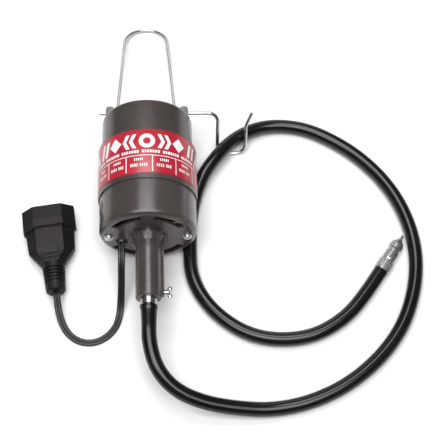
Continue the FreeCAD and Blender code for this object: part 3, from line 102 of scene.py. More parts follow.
class Nodes:
    """Short names for building one node material."""

    def __init__(self, name):
        self.material = bpy.data.materials.new(name)
        self.material.use_nodes = True
        self.tree = self.material.node_tree
        self.shader = self.tree.nodes["Principled BSDF"]
        self.place = self.add("ShaderNodeTexCoord").outputs["Object"]

    def add(self, kind, **values):
        node = self.tree.nodes.new(kind)
        for name, value in values.items():
            setattr(node, name, value)
        return node

    def link(self, source, target):
        self.tree.links.new(source, target)

    def noise(self, scale, detail=3.0, roughness=0.55, stretch=None):
        node = self.add("ShaderNodeTexNoise")
        node.inputs["Scale"].default_value = scale
        node.inputs["Detail"].default_value = detail
        node.inputs["Roughness"].default_value = roughness
        place = self.place
        if stretch:
            mapping = self.add("ShaderNodeMapping")
            mapping.inputs["Scale"].default_value = stretch
            self.link(self.place, mapping.inputs["Vector"])
            place = mapping.outputs["Vector"]
        self.link(place, node.inputs["Vector"])
        return node.outputs["Fac"]

    def span(self, value, low, high, start=0.35, end=0.65):
        node = self.add("ShaderNodeMapRange")
        for name, number in (("From Min", start), ("From Max", end), ("To Min", low),
                             ("To Max", high)):
            node.inputs[name].default_value = number
        self.link(value, node.inputs["Value"])
        return node.outputs["Result"]

    def maths(self, operation, one, two):
        node = self.add("ShaderNodeMath", operation=operation)
        for item, socket in zip((one, two), node.inputs):
            if isinstance(item, (int, float)):
                socket.default_value = item
            else:
                self.link(item, socket)
        return node.outputs["Value"]

    def mix(self, share, one, two):
        node = self.add("ShaderNodeMix", data_type="RGBA")
        self.link(share, node.inputs["Factor"])
        for item, socket in ((one, node.inputs[MIX_A]), (two, node.inputs[MIX_B])):
            if isinstance(item, tuple):
                socket.default_value = (*item, 1.0)
            else:
                self.link(item, socket)
        return node.outputs[MIX_RESULT]

    def bump(self, height, distance):
        node = self.add("ShaderNodeBump")
        node.inputs["Strength"].default_value = 1.0
        node.inputs["Distance"].default_value = distance
        self.link(height, node.inputs["Height"])
        return node.outputs["Normal"]

    def edges(self, radius):
        """1 on sharp edges, from the angle between the rounded and the true normal."""
        bevel = self.add("ShaderNodeBevel", samples=4)
        bevel.inputs["Radius"].default_value = radius
        true = self.add("ShaderNodeNewGeometry").outputs["Normal"]
        dot = self.add("ShaderNodeVectorMath", operation="DOT_PRODUCT")
        self.link(bevel.outputs["Normal"], dot.inputs[0])
        self.link(true, dot.inputs[1])
        apart = self.maths("SUBTRACT", 1.0, dot.outputs["Value"])
        return self.span(apart, 0.0, 1.0, *EDGE_SPAN)


def surface(name, dark, light, gloss, metallic=0.0, patch=45.0, grain=1500.0, lift=0.00002,
            stretch=None, coat=0.0, coat_gloss=0.1, specular=0.5, worn=None, speck=None):
    """A material with drifting tone, uneven gloss and a fine relief.

    gloss is a range of roughness, patch and grain are noise scales, lift is in metres, worn is
    (colour, bevel radius) for rubbed edges and speck is (colour, amount, noise scale) for dust.
    """
    n = Nodes(name)
    drift = n.span(n.noise(patch, 4.0), 0.0, 1.0)
    fine = n.noise(grain, 2.0, stretch=stretch)
    tone = n.mix(n.span(n.maths("MULTIPLY", drift, fine), 0.0, 1.0, *TONE_SPAN), dark, light)
    if speck:
        colour, amount, scale = speck
        dust = n.span(n.noise(scale, 5.0, 0.7), 0.0, amount, *SPECK_SPAN)
        tone = n.mix(dust, tone, colour)
    if worn:
        colour, radius = worn
        rubbed = n.span(n.noise(RUB_SCALE), RUB_LEAST, RUB_MOST)
        edge = n.maths("MULTIPLY", n.edges(radius), rubbed)
        tone = n.mix(edge, tone, colour)
    n.link(tone, n.shader.inputs["Base Color"])
    n.link(n.span(n.noise(patch * 6, 4.0), gloss[0], gloss[1]), n.shader.inputs["Roughness"])
    n.shader.inputs["Metallic"].default_value = metallic
    n.shader.inputs["Specular IOR Level"].default_value = specular
    n.shader.inputs["Coat Weight"].default_value = coat
    n.shader.inputs["Coat Roughness"].default_value = coat_gloss
    n.link(n.bump(fine, lift), n.shader.inputs["Normal"])
    return n.material


def banded(name, dark, light, gloss, pitch, lift, metallic=0.0, direction="Y", coat=0.0):
    """Stacked or wound layers: fine bands across one axis, with drifting tone."""
    n = Nodes(name)
    wave = n.add("ShaderNodeTexWave", wave_type="BANDS", bands_direction=direction)
    wave.inputs["Scale"].default_value = BAND_SCALE / pitch
    wave.inputs["Distortion"].default_value = 0.4
    wave.inputs["Detail"].default_value = 2.0
    n.link(n.place, wave.inputs["Vector"])
    drift = n.span(n.noise(120.0, 4.0), 0.35, 1.0)
    share = n.maths("MULTIPLY", wave.outputs["Fac"], drift)
    n.link(n.mix(share, dark, light), n.shader.inputs["Base Color"])
    n.link(n.span(n.noise(400.0), gloss[0], gloss[1]), n.shader.inputs["Roughness"])
    n.shader.inputs["Metallic"].default_value = metallic
    n.shader.inputs["Coat Weight"].default_value = coat
    n.link(n.bump(wave.outputs["Fac"], lift), n.shader.inputs["Normal"])
    return n.material


materials = {
    "casing_paint": surface("casing_enamel", (0.046, 0.038, 0.036), (0.059, 0.050, 0.047),
                            (0.24, 0.30), patch=22.0, grain=900.0, lift=0.000009, coat=0.25,
                            coat_gloss=0.16, specular=0.45,
                            worn=((0.15, 0.14, 0.13), 0.0005),
                            speck=((0.10, 0.09, 0.085), 0.4, 1600.0)),
    "bracket_paint": surface("bracket_enamel", (0.15, 0.145, 0.14), (0.21, 0.205, 0.20),
                             (0.30, 0.42), patch=60.0, grain=1400.0, coat=0.3,
                             worn=((0.42, 0.42, 0.41), 0.0005)),
    "label_film": surface("label_red", (0.37, 0.010, 0.025), (0.44, 0.017, 0.037),
                          (0.30, 0.38), patch=30.0, grain=2200.0, lift=0.000008, coat=0.25,
                          coat_gloss=0.2),
    "label_ink": surface("label_white_ink", (0.78, 0.72, 0.72), (0.90, 0.86, 0.86),
                         (0.34, 0.42), patch=40.0, grain=2600.0, lift=0.000006),
    # the next material is painted shadow: the dark lines along the label's top and bottom edges,
    # where the film meets the casing
    "label_edge_shadow": surface("label_painted_edge_shadow", (0.035, 0.018, 0.020), (0.055, 0.030, 0.032),
                          (0.34, 0.42), patch=40.0, grain=2600.0, lift=0.000006),
    "bright_wire": surface("bright_zinc_wire", (0.50, 0.50, 0.49), (0.60, 0.60, 0.59),
                           (0.20, 0.24), metallic=1.0, patch=24.0, grain=2400.0,
                           lift=0.000003),
    "fastener_steel": surface("zinc_fastener", (0.50, 0.50, 0.48), (0.72, 0.72, 0.70),
                              (0.20, 0.30), metallic=0.85, patch=160.0, grain=3000.0,
                              lift=0.00001),
    "nickel_plate": surface("bright_nickel", (0.50, 0.49, 0.47), (0.64, 0.63, 0.61),
                            (0.14, 0.24), metallic=1.0, patch=140.0, grain=3200.0,
                            lift=0.000008),
    "satin_nickel": surface("satin_nickel", (0.43, 0.44, 0.435), (0.59, 0.60, 0.59),
                            (0.24, 0.32), metallic=0.9, patch=180.0, grain=2600.0,
                            lift=0.00001, stretch=(1.0, 1.0, 5.0)),
    "bearing_steel": surface("ground_steel", (0.48, 0.48, 0.49), (0.64, 0.64, 0.65),
                             (0.14, 0.26), metallic=1.0, patch=200.0, grain=4000.0,
                             lift=0.000008),
    "lamination_steel": banded("laminations", (0.05, 0.05, 0.052), (0.20, 0.20, 0.21),
                               (0.35, 0.55), 0.0005, 0.00008, metallic=0.8),
    "enamelled_copper": banded("enamelled_windings", (0.16, 0.045, 0.015),
                               (0.62, 0.24, 0.09), (0.22, 0.38), 0.0006, 0.00015,
                               metallic=0.7, direction="DIAGONAL", coat=0.6),
    "commutator_copper": surface("commutator_copper", (0.45, 0.20, 0.11),
                                 (0.66, 0.34, 0.20), (0.20, 0.36), metallic=1.0,
                                 patch=250.0, grain=1800.0, stretch=(1.0, 0.1, 1.0)),
    "fan_plastic": surface("fan_moulding", (0.018, 0.018, 0.019), (0.030, 0.030, 0.031),
                           (0.42, 0.55), grain=2600.0, lift=0.00003),
    "coupling_brass": surface("turned_brass", (0.50, 0.34, 0.14), (0.68, 0.49, 0.22),
                              (0.20, 0.34), metallic=1.0, grain=2200.0,
                              stretch=(1.0, 6.0, 1.0)),
    "holder_brass": surface("drawn_brass", (0.46, 0.32, 0.14), (0.64, 0.46, 0.22),
                            (0.24, 0.38), metallic=1.0, grain=2000.0),
    "carbon": surface("pressed_carbon", (0.010, 0.010, 0.010), (0.030, 0.030, 0.031),
                      (0.55, 0.75), grain=1200.0, lift=0.00006),
    "spring_steel": banded("spring_wire", (0.20, 0.20, 0.21), (0.55, 0.55, 0.56),
                           (0.22, 0.36), 0.0007, 0.00006, metallic=1.0),
    "cap_plastic": surface("moulded_cap", (0.012, 0.011, 0.011), (0.024, 0.022, 0.021),
                           (0.28, 0.42), grain=2400.0, lift=0.00003,
                           worn=((0.06, 0.055, 0.05), 0.0004)),
    "capacitor_plastic": surface("capacitor_case", (0.55, 0.42, 0.10), (0.66, 0.52, 0.15),
                                 (0.34, 0.46), grain=2000.0, lift=0.00002),
    "lead_insulation": surface("lead_insulation", (0.030, 0.028, 0.028),
                               (0.050, 0.046, 0.045), (0.35, 0.5), grain=2000.0),
    "cord_rubber": surface("cord_sheathing", (0.010, 0.009, 0.0085), (0.018, 0.016, 0.015),
                           (0.30, 0.38), patch=70.0, grain=1700.0, lift=0.000008,
                           speck=((0.04, 0.04, 0.04), 0.2, 900.0)),
    "sheath_rubber": surface("shaft_casing", (0.0045, 0.004, 0.004), (0.009, 0.008, 0.008),
                             (0.16, 0.21), patch=35.0, grain=1100.0, lift=0.000012,
                             coat=0.1, coat_gloss=0.12, specular=0.34,
                             speck=((0.015, 0.015, 0.015), 0.1, 1100.0)),
    "connector_plastic": surface("connector_moulding", (0.0050, 0.0042, 0.0040),
                                 (0.009, 0.0076, 0.0072), (0.46, 0.58), patch=60.0,
                                 grain=2600.0, lift=0.00004, specular=0.25,
                                 worn=((0.025, 0.022, 0.021), 0.0004)),
    "connector_relief": surface("connector_relief", (0.0115, 0.0088, 0.0080),
                                (0.0185, 0.0145, 0.0130), (0.50, 0.62), patch=60.0,
                                grain=2600.0, lift=0.00005, specular=0.3,
                                worn=((0.045, 0.038, 0.035), 0.0004)),
    "insert_plastic": surface("insert_moulding", (0.016, 0.015, 0.015),
                              (0.028, 0.026, 0.026), (0.40, 0.55), grain=2600.0,
                              lift=0.00004),
    "contact_brass": surface("contact_brass", (0.52, 0.38, 0.16), (0.70, 0.53, 0.25),
                             (0.18, 0.30), metallic=1.0, grain=2400.0),
}
slots_of = {item["node"]: item["material_slot"] for item in frame["record"]["subparts"]}
HANDPIECE_END = ("handpiece_ferrule", "slip_joint_body", "tip_bush", "drive_tip")
for name, thing in frame["nodes"].items():
    paint = "satin_nickel" if name in HANDPIECE_END else slots_of[name]
    thing.data.materials.clear()
    thing.data.materials.append(materials[paint])


# ---------------------------------------------------------------- making pieces
CURVE_STEPS, TUBE_STEPS, RING_SIDES = 12, 8, 48


def new_piece(name, data, slot, body="motor_body", paints=None):
    """An object in the scene with its body and its paints (the slot's own if none); the slot is
    used for nothing else.
    """
    thing = bpy.data.objects.new(name, data)
    scene.collection.objects.link(thing)
    for paint in paints or (slot,):
        data.materials.append(materials[paint])
    if isinstance(data, bpy.types.Mesh):
        data.polygons.foreach_set("use_smooth", [True] * len(data.polygons))
    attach(thing, body)
    return thing


def nurbs(name, route):
    """A curve with one NURBS spline that has the route's points as its control points."""
    data = bpy.data.curves.new(name, "CURVE")
    data.dimensions = "3D"
    spline = data.splines.new("NURBS")
    spline.points.add(len(route) - 1)
    for point, corner in zip(spline.points, route):
        point.co = (*route_point(corner), 1.0)
    spline.order_u = 3
    spline.use_endpoint_u = True
    spline.resolution_u = CURVE_STEPS
    data.resolution_u = CURVE_STEPS
    return data


def cord_curve(name, route, radius, slot):
    """A smooth round tube along a route."""
    data = nurbs(name, route)
    data.bevel_depth = radius * MM
    data.bevel_resolution = TUBE_STEPS
    data.use_fill_caps = True
    return new_piece(name, data, slot)


def line_of(route):
    """Points along the route's NURBS spline."""
    data = nurbs("line", route)
    thing = bpy.data.objects.new("line", data)
    scene.collection.objects.link(thing)
    mesh = bpy.data.meshes.new_from_object(thing)
    points = [vertex.co.copy() for vertex in mesh.vertices]
    bpy.data.objects.remove(thing)
    bpy.data.meshes.remove(mesh)
    return points


def along(line, distance):
    """Point and direction at a distance in m along a line of points."""
    for start, end in zip(line, line[1:]):
        step = (end - start).length
        if distance <= step or end is line[-1]:
            return start + (end - start) * (distance / step), (end - start).normalized()
        distance -= step


def skin(build, rings):
    """Faces over rings of equal point counts, with both ends closed."""
    loops = [[build.verts.new(point) for point in ring] for ring in rings]
    for one, two in zip(loops, loops[1:]):
        for i in range(len(one)):
            j = (i + 1) % len(one)
            build.faces.new((one[i], one[j], two[j], two[i]))
    build.faces.new(list(reversed(loops[0])))
    build.faces.new(loops[-1])


def finished(build, name):
    """The mesh of a bmesh, with its faces turned outward."""
    bmesh.ops.recalc_face_normals(build, faces=build.faces)
    mesh = bpy.data.meshes.new(name)
    build.to_mesh(mesh)
    build.free()
    return mesh


def in_order(build, name):
    """As finished, for a bmesh in mm whose vertices and faces come in any order."""
    bmesh.ops.recalc_face_normals(build, faces=build.faces)
    spots = sorted(build.verts, key=lambda vertex: tuple(round(mm, 4) for mm in vertex.co))
    number = {vertex: i for i, vertex in enumerate(spots)}
    faces = []
    for face in build.faces:
        corners = [number[vertex] for vertex in face.verts]
        first = corners.index(min(corners))
        faces.append(corners[first:] + corners[:first])
    mesh = bpy.data.meshes.new(name)
    mesh.from_pydata([vertex.co for vertex in spots], [], sorted(faces))
    build.free()
    return mesh


def sharpen(mesh, degrees):
    """Hard edges where neighbouring faces meet at more than an angle."""
    mesh.set_sharp_from_angle(angle=math.radians(degrees))


def loft(name, rings, slot):
    """A closed piece over rings of equal point counts."""
    build = bmesh.new()
    skin(build, rings)
    return new_piece(name, finished(build, name), slot)


def ring_on(line, distance, outline):
    """An outline of (sideways, upward) mm carried square to a line at a distance."""
    centre, direction = along(line, distance)
    side = direction.cross(Vector((0, 0, 1))).normalized()
    up = side.cross(direction)
    return [centre + (side * across + up * rise) * MM for across, rise in outline]


def circle(radius, count=RING_SIDES):
    """Spots round a circle, for a ring."""
    return [(radius * math.cos(math.tau * i / count), radius * math.sin(math.tau * i / count))
            for i in range(count)]


# ---------------------------------------------------------------- flexible shaft
SHEATH_RADIUS, CORE_RADIUS = 6.25, 2.2
SLEEVE_PROFILE = [                      # (distance along the shaft, radius)
    (9.6, 6.6), (9.6, 7.1), (10.0, 7.38), (11.4, 7.42), (12.4, 7.25), (13.2, 6.95),
    (15.0, 6.75), (18.0, 6.55), (21.0, 6.41), (24.0, 6.31), (24.2, 6.05),
]
sheath_line = line_of(SHEATH_ROUTE)
flex = cord_curve("flexible_casing", SHEATH_ROUTE, SHEATH_RADIUS, "sheath_rubber")
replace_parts(flex, "flex_sheath")
core = cord_curve("drive_cable", SHEATH_ROUTE, CORE_RADIUS, "spring_steel")
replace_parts(core, "drive_core")
sleeve = loft("shaft_collar", [ring_on(sheath_line, station * MM, circle(radius))
                               for station, radius in SLEEVE_PROFILE], "sheath_rubber")
sharpen(sleeve.data, 25)
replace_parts(sleeve, "motor_end_sleeve")

# ---------------------------------------------------------------- mains cord
CORD_LOBE, CORD_APART = 1.55, 1.5       # radius of each lead, and its middle's offset
LOBE_ARC, LOBE_STEPS, CORD_STEPS = 300, 14, 220
cord_line = line_of(CORD_ROUTE)
twin = []
for side in (1, -1):
    for i in range(LOBE_STEPS + 1):
        angle = math.radians(LOBE_ARC * i / LOBE_STEPS - LOBE_ARC / 2)
        angle += 0 if side > 0 else math.pi
        twin.append((side * CORD_APART + CORD_LOBE * math.cos(angle),
                     CORD_LOBE * math.sin(angle)))
cord_length = sum((b - a).length for a, b in zip(cord_line, cord_line[1:]))
cord = loft("twin_cord", [ring_on(cord_line, cord_length * i / CORD_STEPS, twin)
                          for i in range(CORD_STEPS + 1)], "cord_rubber")
sharpen(cord.data, 40)
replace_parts(cord, "power_cord")

# ---------------------------------------------------------------- connector relief
PLUG_PLACE, PLUG_TURN = (-81.2, -149, 11.8), 7.0
plug = (Matrix.Translation(route_point(PLUG_PLACE))
        @ Matrix.Rotation(math.radians(PLUG_TURN), 4, "Z"))
SHELL_ROOT, SHELL_BEND, SHELL_HEAD = (26.0, 9.5), (39.0, 10.7), (59.0, 11.0)  # (along, height)
HEAD_TOP = 11.8
PLATE_CUTS = (33.0, 36.0, SHELL_BEND[0])    # extra edges, so that a pad can follow the shell


def shell_top(along_shell):
    """Height of the shell's flat top above the connector's middle plane."""
    if along_shell < SHELL_BEND[0]:
        (one, low), (two, high) = SHELL_ROOT, SHELL_BEND
    else:
        (one, low), (two, high) = SHELL_BEND, SHELL_HEAD
    return low + (high - low) * (along_shell - one) / (two - one)


def plate(name, outline, surface_height, rise, sunk, rounding, paint):
    """A raised pad with rounded edges that follows a surface; outline in mm."""
    build = bmesh.new()
    face = build.faces.new([build.verts.new((across, up, -sunk)) for across, up in outline])
    made = bmesh.ops.extrude_face_region(build, geom=[face], use_keep_orig=True)
    raised = [item for item in made["geom"] if isinstance(item, bmesh.types.BMVert)]
    for vertex in raised:
        vertex.co.z = rise
    rim = [edge for edge in build.edges if all(vertex.co.z == rise for vertex in edge.verts)]
    bmesh.ops.bevel(build, geom=rim, offset=rounding, segments=3, profile=0.5, affect="EDGES")
    for cut in PLATE_CUTS:
        bmesh.ops.bisect_plane(build, geom=build.verts[:] + build.edges[:] + build.faces[:],
                               plane_co=(0, cut, 0), plane_no=(0, 1, 0))
    for vertex in build.verts:
        vertex.co.z += surface_height(vertex.co.y)
    mesh = in_order(build, name)
    mesh.transform(plug @ Matrix.Scale(MM, 4))
    thing = new_piece(name, mesh, "connector_plastic", paints=(paint,))
    sharpen(mesh, 40)
    return thing


def u_outline(half, start, end, corner, steps):
    """A rectangle with its two corners at start rounded by a big radius."""
    spots = [(half, end), (-half, end)]
    for side, first in ((-1, math.pi), (1, 1.5 * math.pi)):
        for i in range(steps + 1):
            turn = first + math.pi / 2 * i / steps
            spots.append((side * (half - corner) + corner * math.cos(turn),
                          start + corner + corner * math.sin(turn)))
    return spots


GRIP_PADS = (   # name, (half width, start, end, corner, steps), height, rise, sunk, edge, paint
    ("grip_panel", (11.6, 29.6, 57.4, 7.5, 8), shell_top, 1.3, 1.5, 0.5, "connector_relief"),
    ("grip_strip", (13.0, 59.4, 66.4, 1.0, 4), lambda along_shell: HEAD_TOP, 1.4, 1.2, 0.5,
     "connector_relief"),
    # the next pad is a dark ring round the badge: the moulding's own darker colour, raised
    # slightly, used as painted shade standing in for a groove
    ("grip_frame", (6.8, 32.2, 42.8, 0.8, 4), shell_top, 1.42, 0.5, 0.1, "connector_plastic"),
    ("grip_badge", (6.0, 33.0, 42.0, 0.8, 4), shell_top, 2.2, 0.5, 0.4, "connector_relief"),
)
grip_pads = [plate(name, u_outline(*outline), *shape) for name, outline, *shape in GRIP_PADS]

# ---------------------------------------------------------------- thumb screw wings
SCREW_STATION, SCREW_SHOULDER, WING_REACH = 166.5, 15.0, 19.5
WING_APART, WING_LOBE, WING_FLAT = 3.2, 2.0, 0.45
WING_LEAN, WING_SPREAD, WING_SIDES, WING_RINGS = 0.25, 0.12, 24, 14
HUB_RADIUS, HUB_BORE, HUB_SIDES = 2.9, 1.27, 32
HUB_PROFILE = [                         # (distance out from the shoulder, radius)
    (0.1, HUB_BORE), (0.1, HUB_RADIUS - 0.2), (0.3, HUB_RADIUS), (1.6, HUB_RADIUS - 0.2),
    (2.4, HUB_RADIUS - 0.7), (2.7, 1.2), (2.75, 0.3),
]


def winged_head():
    """A hub with two flattened round lobes, as one mesh about the screw's axis."""
    build = bmesh.new()
    skin(build, [[(SCREW_SHOULDER + out, across, up) for across, up in circle(radius, HUB_SIDES)]
                 for out, radius in HUB_PROFILE])
    for side in (1, -1):
        made = bmesh.ops.create_uvsphere(build, u_segments=WING_SIDES, v_segments=WING_RINGS,
                                         radius=WING_LOBE)
        for vertex in made["verts"]:
            out, across, up = vertex.co
            lean = 1.0 + WING_LEAN * max(0.0, -out / WING_LOBE)
            apart = side * WING_APART * (1.0 + WING_SPREAD * out / WING_LOBE)
            vertex.co = Vector((WING_REACH - WING_LOBE + out, up * WING_FLAT,
                                apart + across * lean))
    mesh = in_order(build, "winged_head")
    mesh.transform(motor @ Matrix.Translation(Vector((0, 0, SCREW_STATION)) * MM)
                   @ Matrix.Scale(MM, 4))
    return new_piece("winged_head", mesh, "nickel_plate", body="thumb_screw_wings")


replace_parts(winged_head(), "thumb_screw_wings")

# ---------------------------------------------------------------- bolt heads
BOLT_CIRCLE, BELL_END, HEAD_TURN = 33.3, 114.5, 25
HEAD_WIDE, HEAD_SIDE, HEAD_DOME, DOME_STEPS = 3.38, 1.2, 1.5, 8
RECESS_HALF, RECESS_REACH, RECESS_FLOOR, RECESS_TOP = 0.5, 1.9, 2.05, 4.0
head_profile = [(0.0, 3.0), (0.0, 4.1), (0.4, 4.1), (0.55, 3.95), (0.55, HEAD_WIDE + 0.08),
                (HEAD_SIDE, HEAD_WIDE)]
for i in range(1, DOME_STEPS):
    rising = math.pi / 2 * i / DOME_STEPS
    head_profile.append((HEAD_SIDE + HEAD_DOME * math.sin(rising),
                         HEAD_WIDE * math.cos(rising)))


def cross_cutter(half_arm, half_reach, low, high):
    """A cross-shaped prism that cuts a recess."""
    spots = [(half_arm, half_arm), (half_arm, half_reach), (-half_arm, half_reach),
             (-half_arm, half_arm), (-half_reach, half_arm), (-half_reach, -half_arm),
             (-half_arm, -half_arm), (-half_arm, -half_reach), (half_arm, -half_reach),
             (half_arm, -half_arm), (half_reach, -half_arm), (half_reach, half_arm)]
    count = len(spots)
    corners = [(x, y, z) for z in (low, high) for x, y in spots]
    faces = [tuple(range(count))[::-1], tuple(range(count, 2 * count))]
    faces += [(i, (i + 1) % count, (i + 1) % count + count, i + count) for i in range(count)]
    mesh = bpy.data.meshes.new("cutter")
    mesh.from_pydata(corners, [], faces)
    return mesh


def cross_head(name, side):
    """A washered, domed head with a cross recess, over one through bolt."""
    place = (motor @ Matrix.Translation(Vector((side * BOLT_CIRCLE, 0, BELL_END)) * MM)
             @ Matrix.Rotation(math.radians(HEAD_TURN * side), 4, "Z"))
    rings = [[Vector((x, y, height)) for x, y in circle(radius)]
             for height, radius in head_profile]
    thing = loft(name, rings, "fastener_steel")
    cutter = bpy.data.objects.new("cutter", cross_cutter(RECESS_HALF, RECESS_REACH,
                                                         RECESS_FLOOR, RECESS_TOP))
    scene.collection.objects.link(cutter)
    cut = thing.modifiers.new("recess", "BOOLEAN")
    cut.operation, cut.object, cut.solver = "DIFFERENCE", cutter, "EXACT"
    bpy.context.view_layer.update()
    graph = bpy.context.evaluated_depsgraph_get()
    baked = bpy.data.meshes.new_from_object(thing.evaluated_get(graph))
    thing.modifiers.clear()
    thing.data = baked
    bpy.data.objects.remove(cutter)
    baked.transform(place @ Matrix.Scale(MM, 4))
    sharpen(baked, 35)


for side in (1, -1):
    cross_head(f"bolt_head_{'right' if side > 0 else 'left'}", side)

# ---------------------------------------------------------------- label
HOUSING_RADIUS, FILM_RADIUS, INK_RADIUS = 42.8, 42.94, 42.99
LABEL_START, LABEL_MIDDLE, LABEL_END = 33.6, 55.0, 77.3
LABEL_HALF = 105.0                      # half the wrap, in degrees
FILM_EDGE, FILM_DROP, FILM_COLUMNS = 0.3, 0.08, 84
STRIP = 2.0                             # widest flat strip of print, so that it follows the film


def wrapped(across, station, radius):
    """A spot on the casing: mm round from its top, station from the closed end."""
    turn = math.pi / 2 - across / FILM_RADIUS
    return motor @ (Vector((radius * math.cos(turn), radius * math.sin(turn), station)) * MM)


def label_sheet():
    """The film: two layers over the casing, joined round the rim, thinner at both long edges."""
    build = bmesh.new()
    stations = [LABEL_START, LABEL_START + FILM_EDGE, LABEL_MIDDLE, LABEL_END - FILM_EDGE,
                LABEL_END]
    rows = len(stations) - 1
    grid = {}
    for layer, radius in enumerate((HOUSING_RADIUS, FILM_RADIUS)):
        for i in range(FILM_COLUMNS + 1):
            for j, station in enumerate(stations):
                drop = FILM_DROP if layer and j in (0, rows) else 0.0
                grid[layer, i, j] = build.verts.new(
                    wrapped(half_width * (2 * i / FILM_COLUMNS - 1), station, radius - drop))
    square = ((0, 0), (1, 0), (1, 1), (0, 1))
    for i in range(FILM_COLUMNS):
        for j in range(rows):
            for layer in (0, 1):
                build.faces.new([grid[layer, i + a, j + b] for a, b in square])
        for j in (0, rows):
            build.faces.new([grid[a, i + b, j] for a, b in square])
    for i in (0, FILM_COLUMNS):
        for j in range(rows):
            build.faces.new([grid[a, i, j + b] for a, b in square])
    return new_piece("label_sheet", finished(build, "label_film"), "label_film")


half_width = math.radians(LABEL_HALF) * FILM_RADIUS
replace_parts(label_sheet(), "label_band")
print_and_shadow_build = bmesh.new()
WHITE, EDGE_SHADOW = 0, 1                      # paints of the marks: white print, and painted shadow for the dark lines at the label's edges


def mark(outline, paint=WHITE):
    """Lay one flat outline of (across, station) spots onto the curved film, in the given paint;
    the default is white print, and the dark paint is painted shadow at the label's edges.
    """
    part = bmesh.new()
    part.faces.new([part.verts.new((across, station, 0.0)) for across, station in outline])
    left = min(spot[0] for spot in outline)
    right = max(spot[0] for spot in outline)
    bmesh.ops.triangulate(part, faces=part.faces)
    cut = left + STRIP
    while cut < right:
        bmesh.ops.bisect_plane(part, geom=part.verts[:] + part.edges[:] + part.faces[:],
                               plane_co=(cut, 0, 0), plane_no=(1, 0, 0))
        cut += STRIP
    spots = {vertex: print_and_shadow_build.verts.new(wrapped(vertex.co.x, vertex.co.y, INK_RADIUS))
             for vertex in part.verts}
    for face in part.faces:
        made = print_and_shadow_build.faces.new([spots[vertex] for vertex in face.verts])
        made.material_index = paint
    part.free()


def block(left, right, start, end, paint=WHITE):
    mark([(left, start), (right, start), (right, end), (left, end)], paint)


def ring_mark(middle, station, outer, inner, count=28):
    for i in range(count):
        one, two = math.tau * i / count, math.tau * (i + 1) / count
        mark([(middle + radius * math.cos(turn), station + radius * math.sin(turn))
              for radius, turn in ((inner, one), (outer, one), (outer, two), (inner, two))])


MARK_TOP, MARK_END, MARK_PITCH, RING_BORE = 38.6, 52.4, 14.4, 3.3
mark_middle = (MARK_TOP + MARK_END) / 2
mark_half = (MARK_END - MARK_TOP) / 2
BAR_SHIFTS, BAR_WIDE = (-4.6, 1.2), 3.4
CHEVRON_SHIFTS, CHEVRON_WIDE = (-5.4, 0.4), 3.3
PEAK_HALF, DIAMOND_HALF = 6.6, 6.2


def slanted(middle):
    """Two leaning bars."""
    for shift in BAR_SHIFTS:
        foot = middle + shift
        mark([(foot, MARK_END), (foot + BAR_WIDE, MARK_TOP),
              (foot + 2 * BAR_WIDE, MARK_TOP), (foot + BAR_WIDE, MARK_END)][::-1])


def chevrons(middle, way):
    """Two arrowheads that point the same way."""
    for shift in CHEVRON_SHIFTS:
        spots = [(0, MARK_TOP), (CHEVRON_WIDE, MARK_TOP), (2 * CHEVRON_WIDE, mark_middle),
                 (CHEVRON_WIDE, MARK_END), (0, MARK_END), (CHEVRON_WIDE, mark_middle)]
        mark([(middle + way * (shift + across), station) for across, station in spots])


def peak(middle):
    mark([(middle, MARK_TOP), (middle + PEAK_HALF, MARK_END), (middle - PEAK_HALF, MARK_END)])


def diamond(middle):
    mark([(middle, MARK_TOP), (middle + DIAMOND_HALF, mark_middle), (middle, MARK_END),
          (middle - DIAMOND_HALF, mark_middle)])


ring_mark(0, mark_middle, mark_half, RING_BORE)
for way in (-1, 1):
    chevrons(way * MARK_PITCH, way)
    diamond(way * 2 * MARK_PITCH)
    slanted(way * 3 * MARK_PITCH)
    peak(way * 4 * MARK_PITCH)

RULE_AT, RULE_WIDE, RULE_MARGIN, TABLE_END = 59.3, 0.7, 1.0, 75.2
EDGE_SHADOW_MARGIN, EDGE_SHADOW_LINES = 0.4, ((76.2, 76.9), (34.0, 34.4))
DIVIDERS, DIVIDER_HALF = (-75.0, -54.0, -36.5, -18.0, 4.5, 25.5, 46.5, 68.0), 0.4
block(-half_width + RULE_MARGIN, half_width - RULE_MARGIN, RULE_AT, RULE_AT + RULE_WIDE)
# dark lines along the label's bottom and top edges: painted shadow where the film's edges meet
# the casing, not print
for start, end in EDGE_SHADOW_LINES:
    block(-half_width + EDGE_SHADOW_MARGIN, half_width - EDGE_SHADOW_MARGIN, start, end, EDGE_SHADOW)
for across in DIVIDERS:
    block(across - DIVIDER_HALF, across + DIVIDER_HALF, RULE_AT + RULE_WIDE, TABLE_END)


def dashes(left, right, start, high, widths, gap):
    """A row of short blocks standing for small print; a negative width is left blank."""
    at, turn = left, 0
    while at + widths[turn % len(widths)] <= right:
        wide = widths[turn % len(widths)]
        if wide > 0:
            block(at, at + wide, start, start + high)
        at += abs(wide) + gap
        turn += 1


CELLS = ((-53.0, -37.5), (-35.5, -19.0), (-16.5, 3.0), (6.0, 24.0), (27.0, 45.0))
CELL_ROWS = (   # blank share at the left and right, start, height, widths
    (0.28, 0.26, 62.2, 2.4, (1.0, 0.8, 1.1)),
    (0.12, 0.10, 67.4, 2.9, (1.1, 0.9, 1.2, 0.9, -0.5)),
)
LINE_HALF, LINE_AT, LINE_HIGH, LINE_GAP, CELL_GAP = 58.0, 54.4, 2.7, 0.65, 0.7
LINE_WIDTHS = (1.7, 1.3, 1.9, 1.4, 1.7, 1.5, 1.8, -1.4)
dashes(-LINE_HALF, LINE_HALF, LINE_AT, LINE_HIGH, LINE_WIDTHS, LINE_GAP)
for left, right in CELLS:
    room = right - left
    for before, after, start, high, widths in CELL_ROWS:
        dashes(left + room * before, right - room * after, start, high, widths, CELL_GAP)
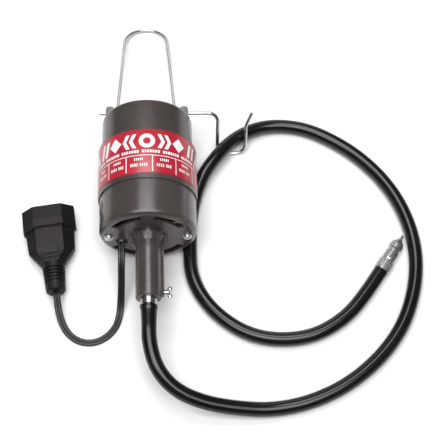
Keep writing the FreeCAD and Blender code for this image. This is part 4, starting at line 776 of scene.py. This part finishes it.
# one mesh holds the white print and the painted edge-shadow lines
print_and_shadow_mesh = bpy.data.meshes.new("label_print_and_edge_shadow")
print_and_shadow_build.to_mesh(print_and_shadow_mesh)
print_and_shadow_build.free()
new_piece("label_print_and_edge_shadow", print_and_shadow_mesh, "label_film", paints=("label_ink", "label_edge_shadow"))

# ---------------------------------------------------------------- floor, lights, world
FLOOR_HALF = 4.0
floor_mesh = bpy.data.meshes.new("floor")
floor_mesh.from_pydata([(-FLOOR_HALF, -FLOOR_HALF, 0), (FLOOR_HALF, -FLOOR_HALF, 0),
                        (FLOOR_HALF, FLOOR_HALF, 0), (-FLOOR_HALF, FLOOR_HALF, 0)], [],
                       [(0, 1, 2, 3)])
floor = bpy.data.objects.new("floor", floor_mesh)
floor_mesh.materials.append(surface("pale_floor", (0.84, 0.84, 0.84), (0.87, 0.87, 0.87),
                                    (0.6, 0.7), patch=3.0, grain=300.0, lift=0.00001,
                                    specular=0.2))
scene.collection.objects.link(floor)


def softbox(name, at, aim, wide, deep, power):
    """A rectangular area lamp; sizes in m, power in W."""
    lamp = bpy.data.lights.new(name, "AREA")
    lamp.shape = "RECTANGLE"
    lamp.size, lamp.size_y = wide, deep
    lamp.energy = power
    thing = bpy.data.objects.new(name, lamp)
    thing.location = at
    thing.rotation_mode = "QUATERNION"
    thing.rotation_quaternion = (Vector(aim) - Vector(at)).to_track_quat("-Z", "Y")
    scene.collection.objects.link(thing)


softbox("front_key", (-0.1, -0.75, 2.55), (0.0, 0.0, 0.0), 2.6, 1.6, 76.0)
softbox("overhead", (-0.02, 0.27, 1.05), (-0.02, 0.20, 0.0), 0.62, 0.40, 5.0)
softbox("fore_strip", (-0.02, -0.40, 1.15), (-0.02, -0.2, 0.0), 0.16, 0.30, 0.6)
softbox("back_panel", (0.0, 1.4, 0.55), (0.0, 0.1, 0.02), 1.2, 0.7, 3.6)

LOW_SKY, HIGH_SKY = (0.05, 0.05, 0.052, 1.0), (0.16, 0.16, 0.165, 1.0)
world = bpy.data.worlds.new("studio")
scene.world = world
world.use_nodes = True
sky = world.node_tree
backdrop = sky.nodes["Background"]
backdrop.inputs["Strength"].default_value = 1.0
facing = sky.nodes.new("ShaderNodeTexCoord")
height = sky.nodes.new("ShaderNodeSeparateXYZ")
shade = sky.nodes.new("ShaderNodeValToRGB")
for element, place, colour in zip(shade.color_ramp.elements, (0.0, 1.0), (LOW_SKY, HIGH_SKY)):
    element.position, element.color = place, colour
sky.links.new(facing.outputs["Generated"], height.inputs["Vector"])
sky.links.new(height.outputs["Z"], shade.inputs["Fac"])
sky.links.new(shade.outputs["Color"], backdrop.inputs["Color"])
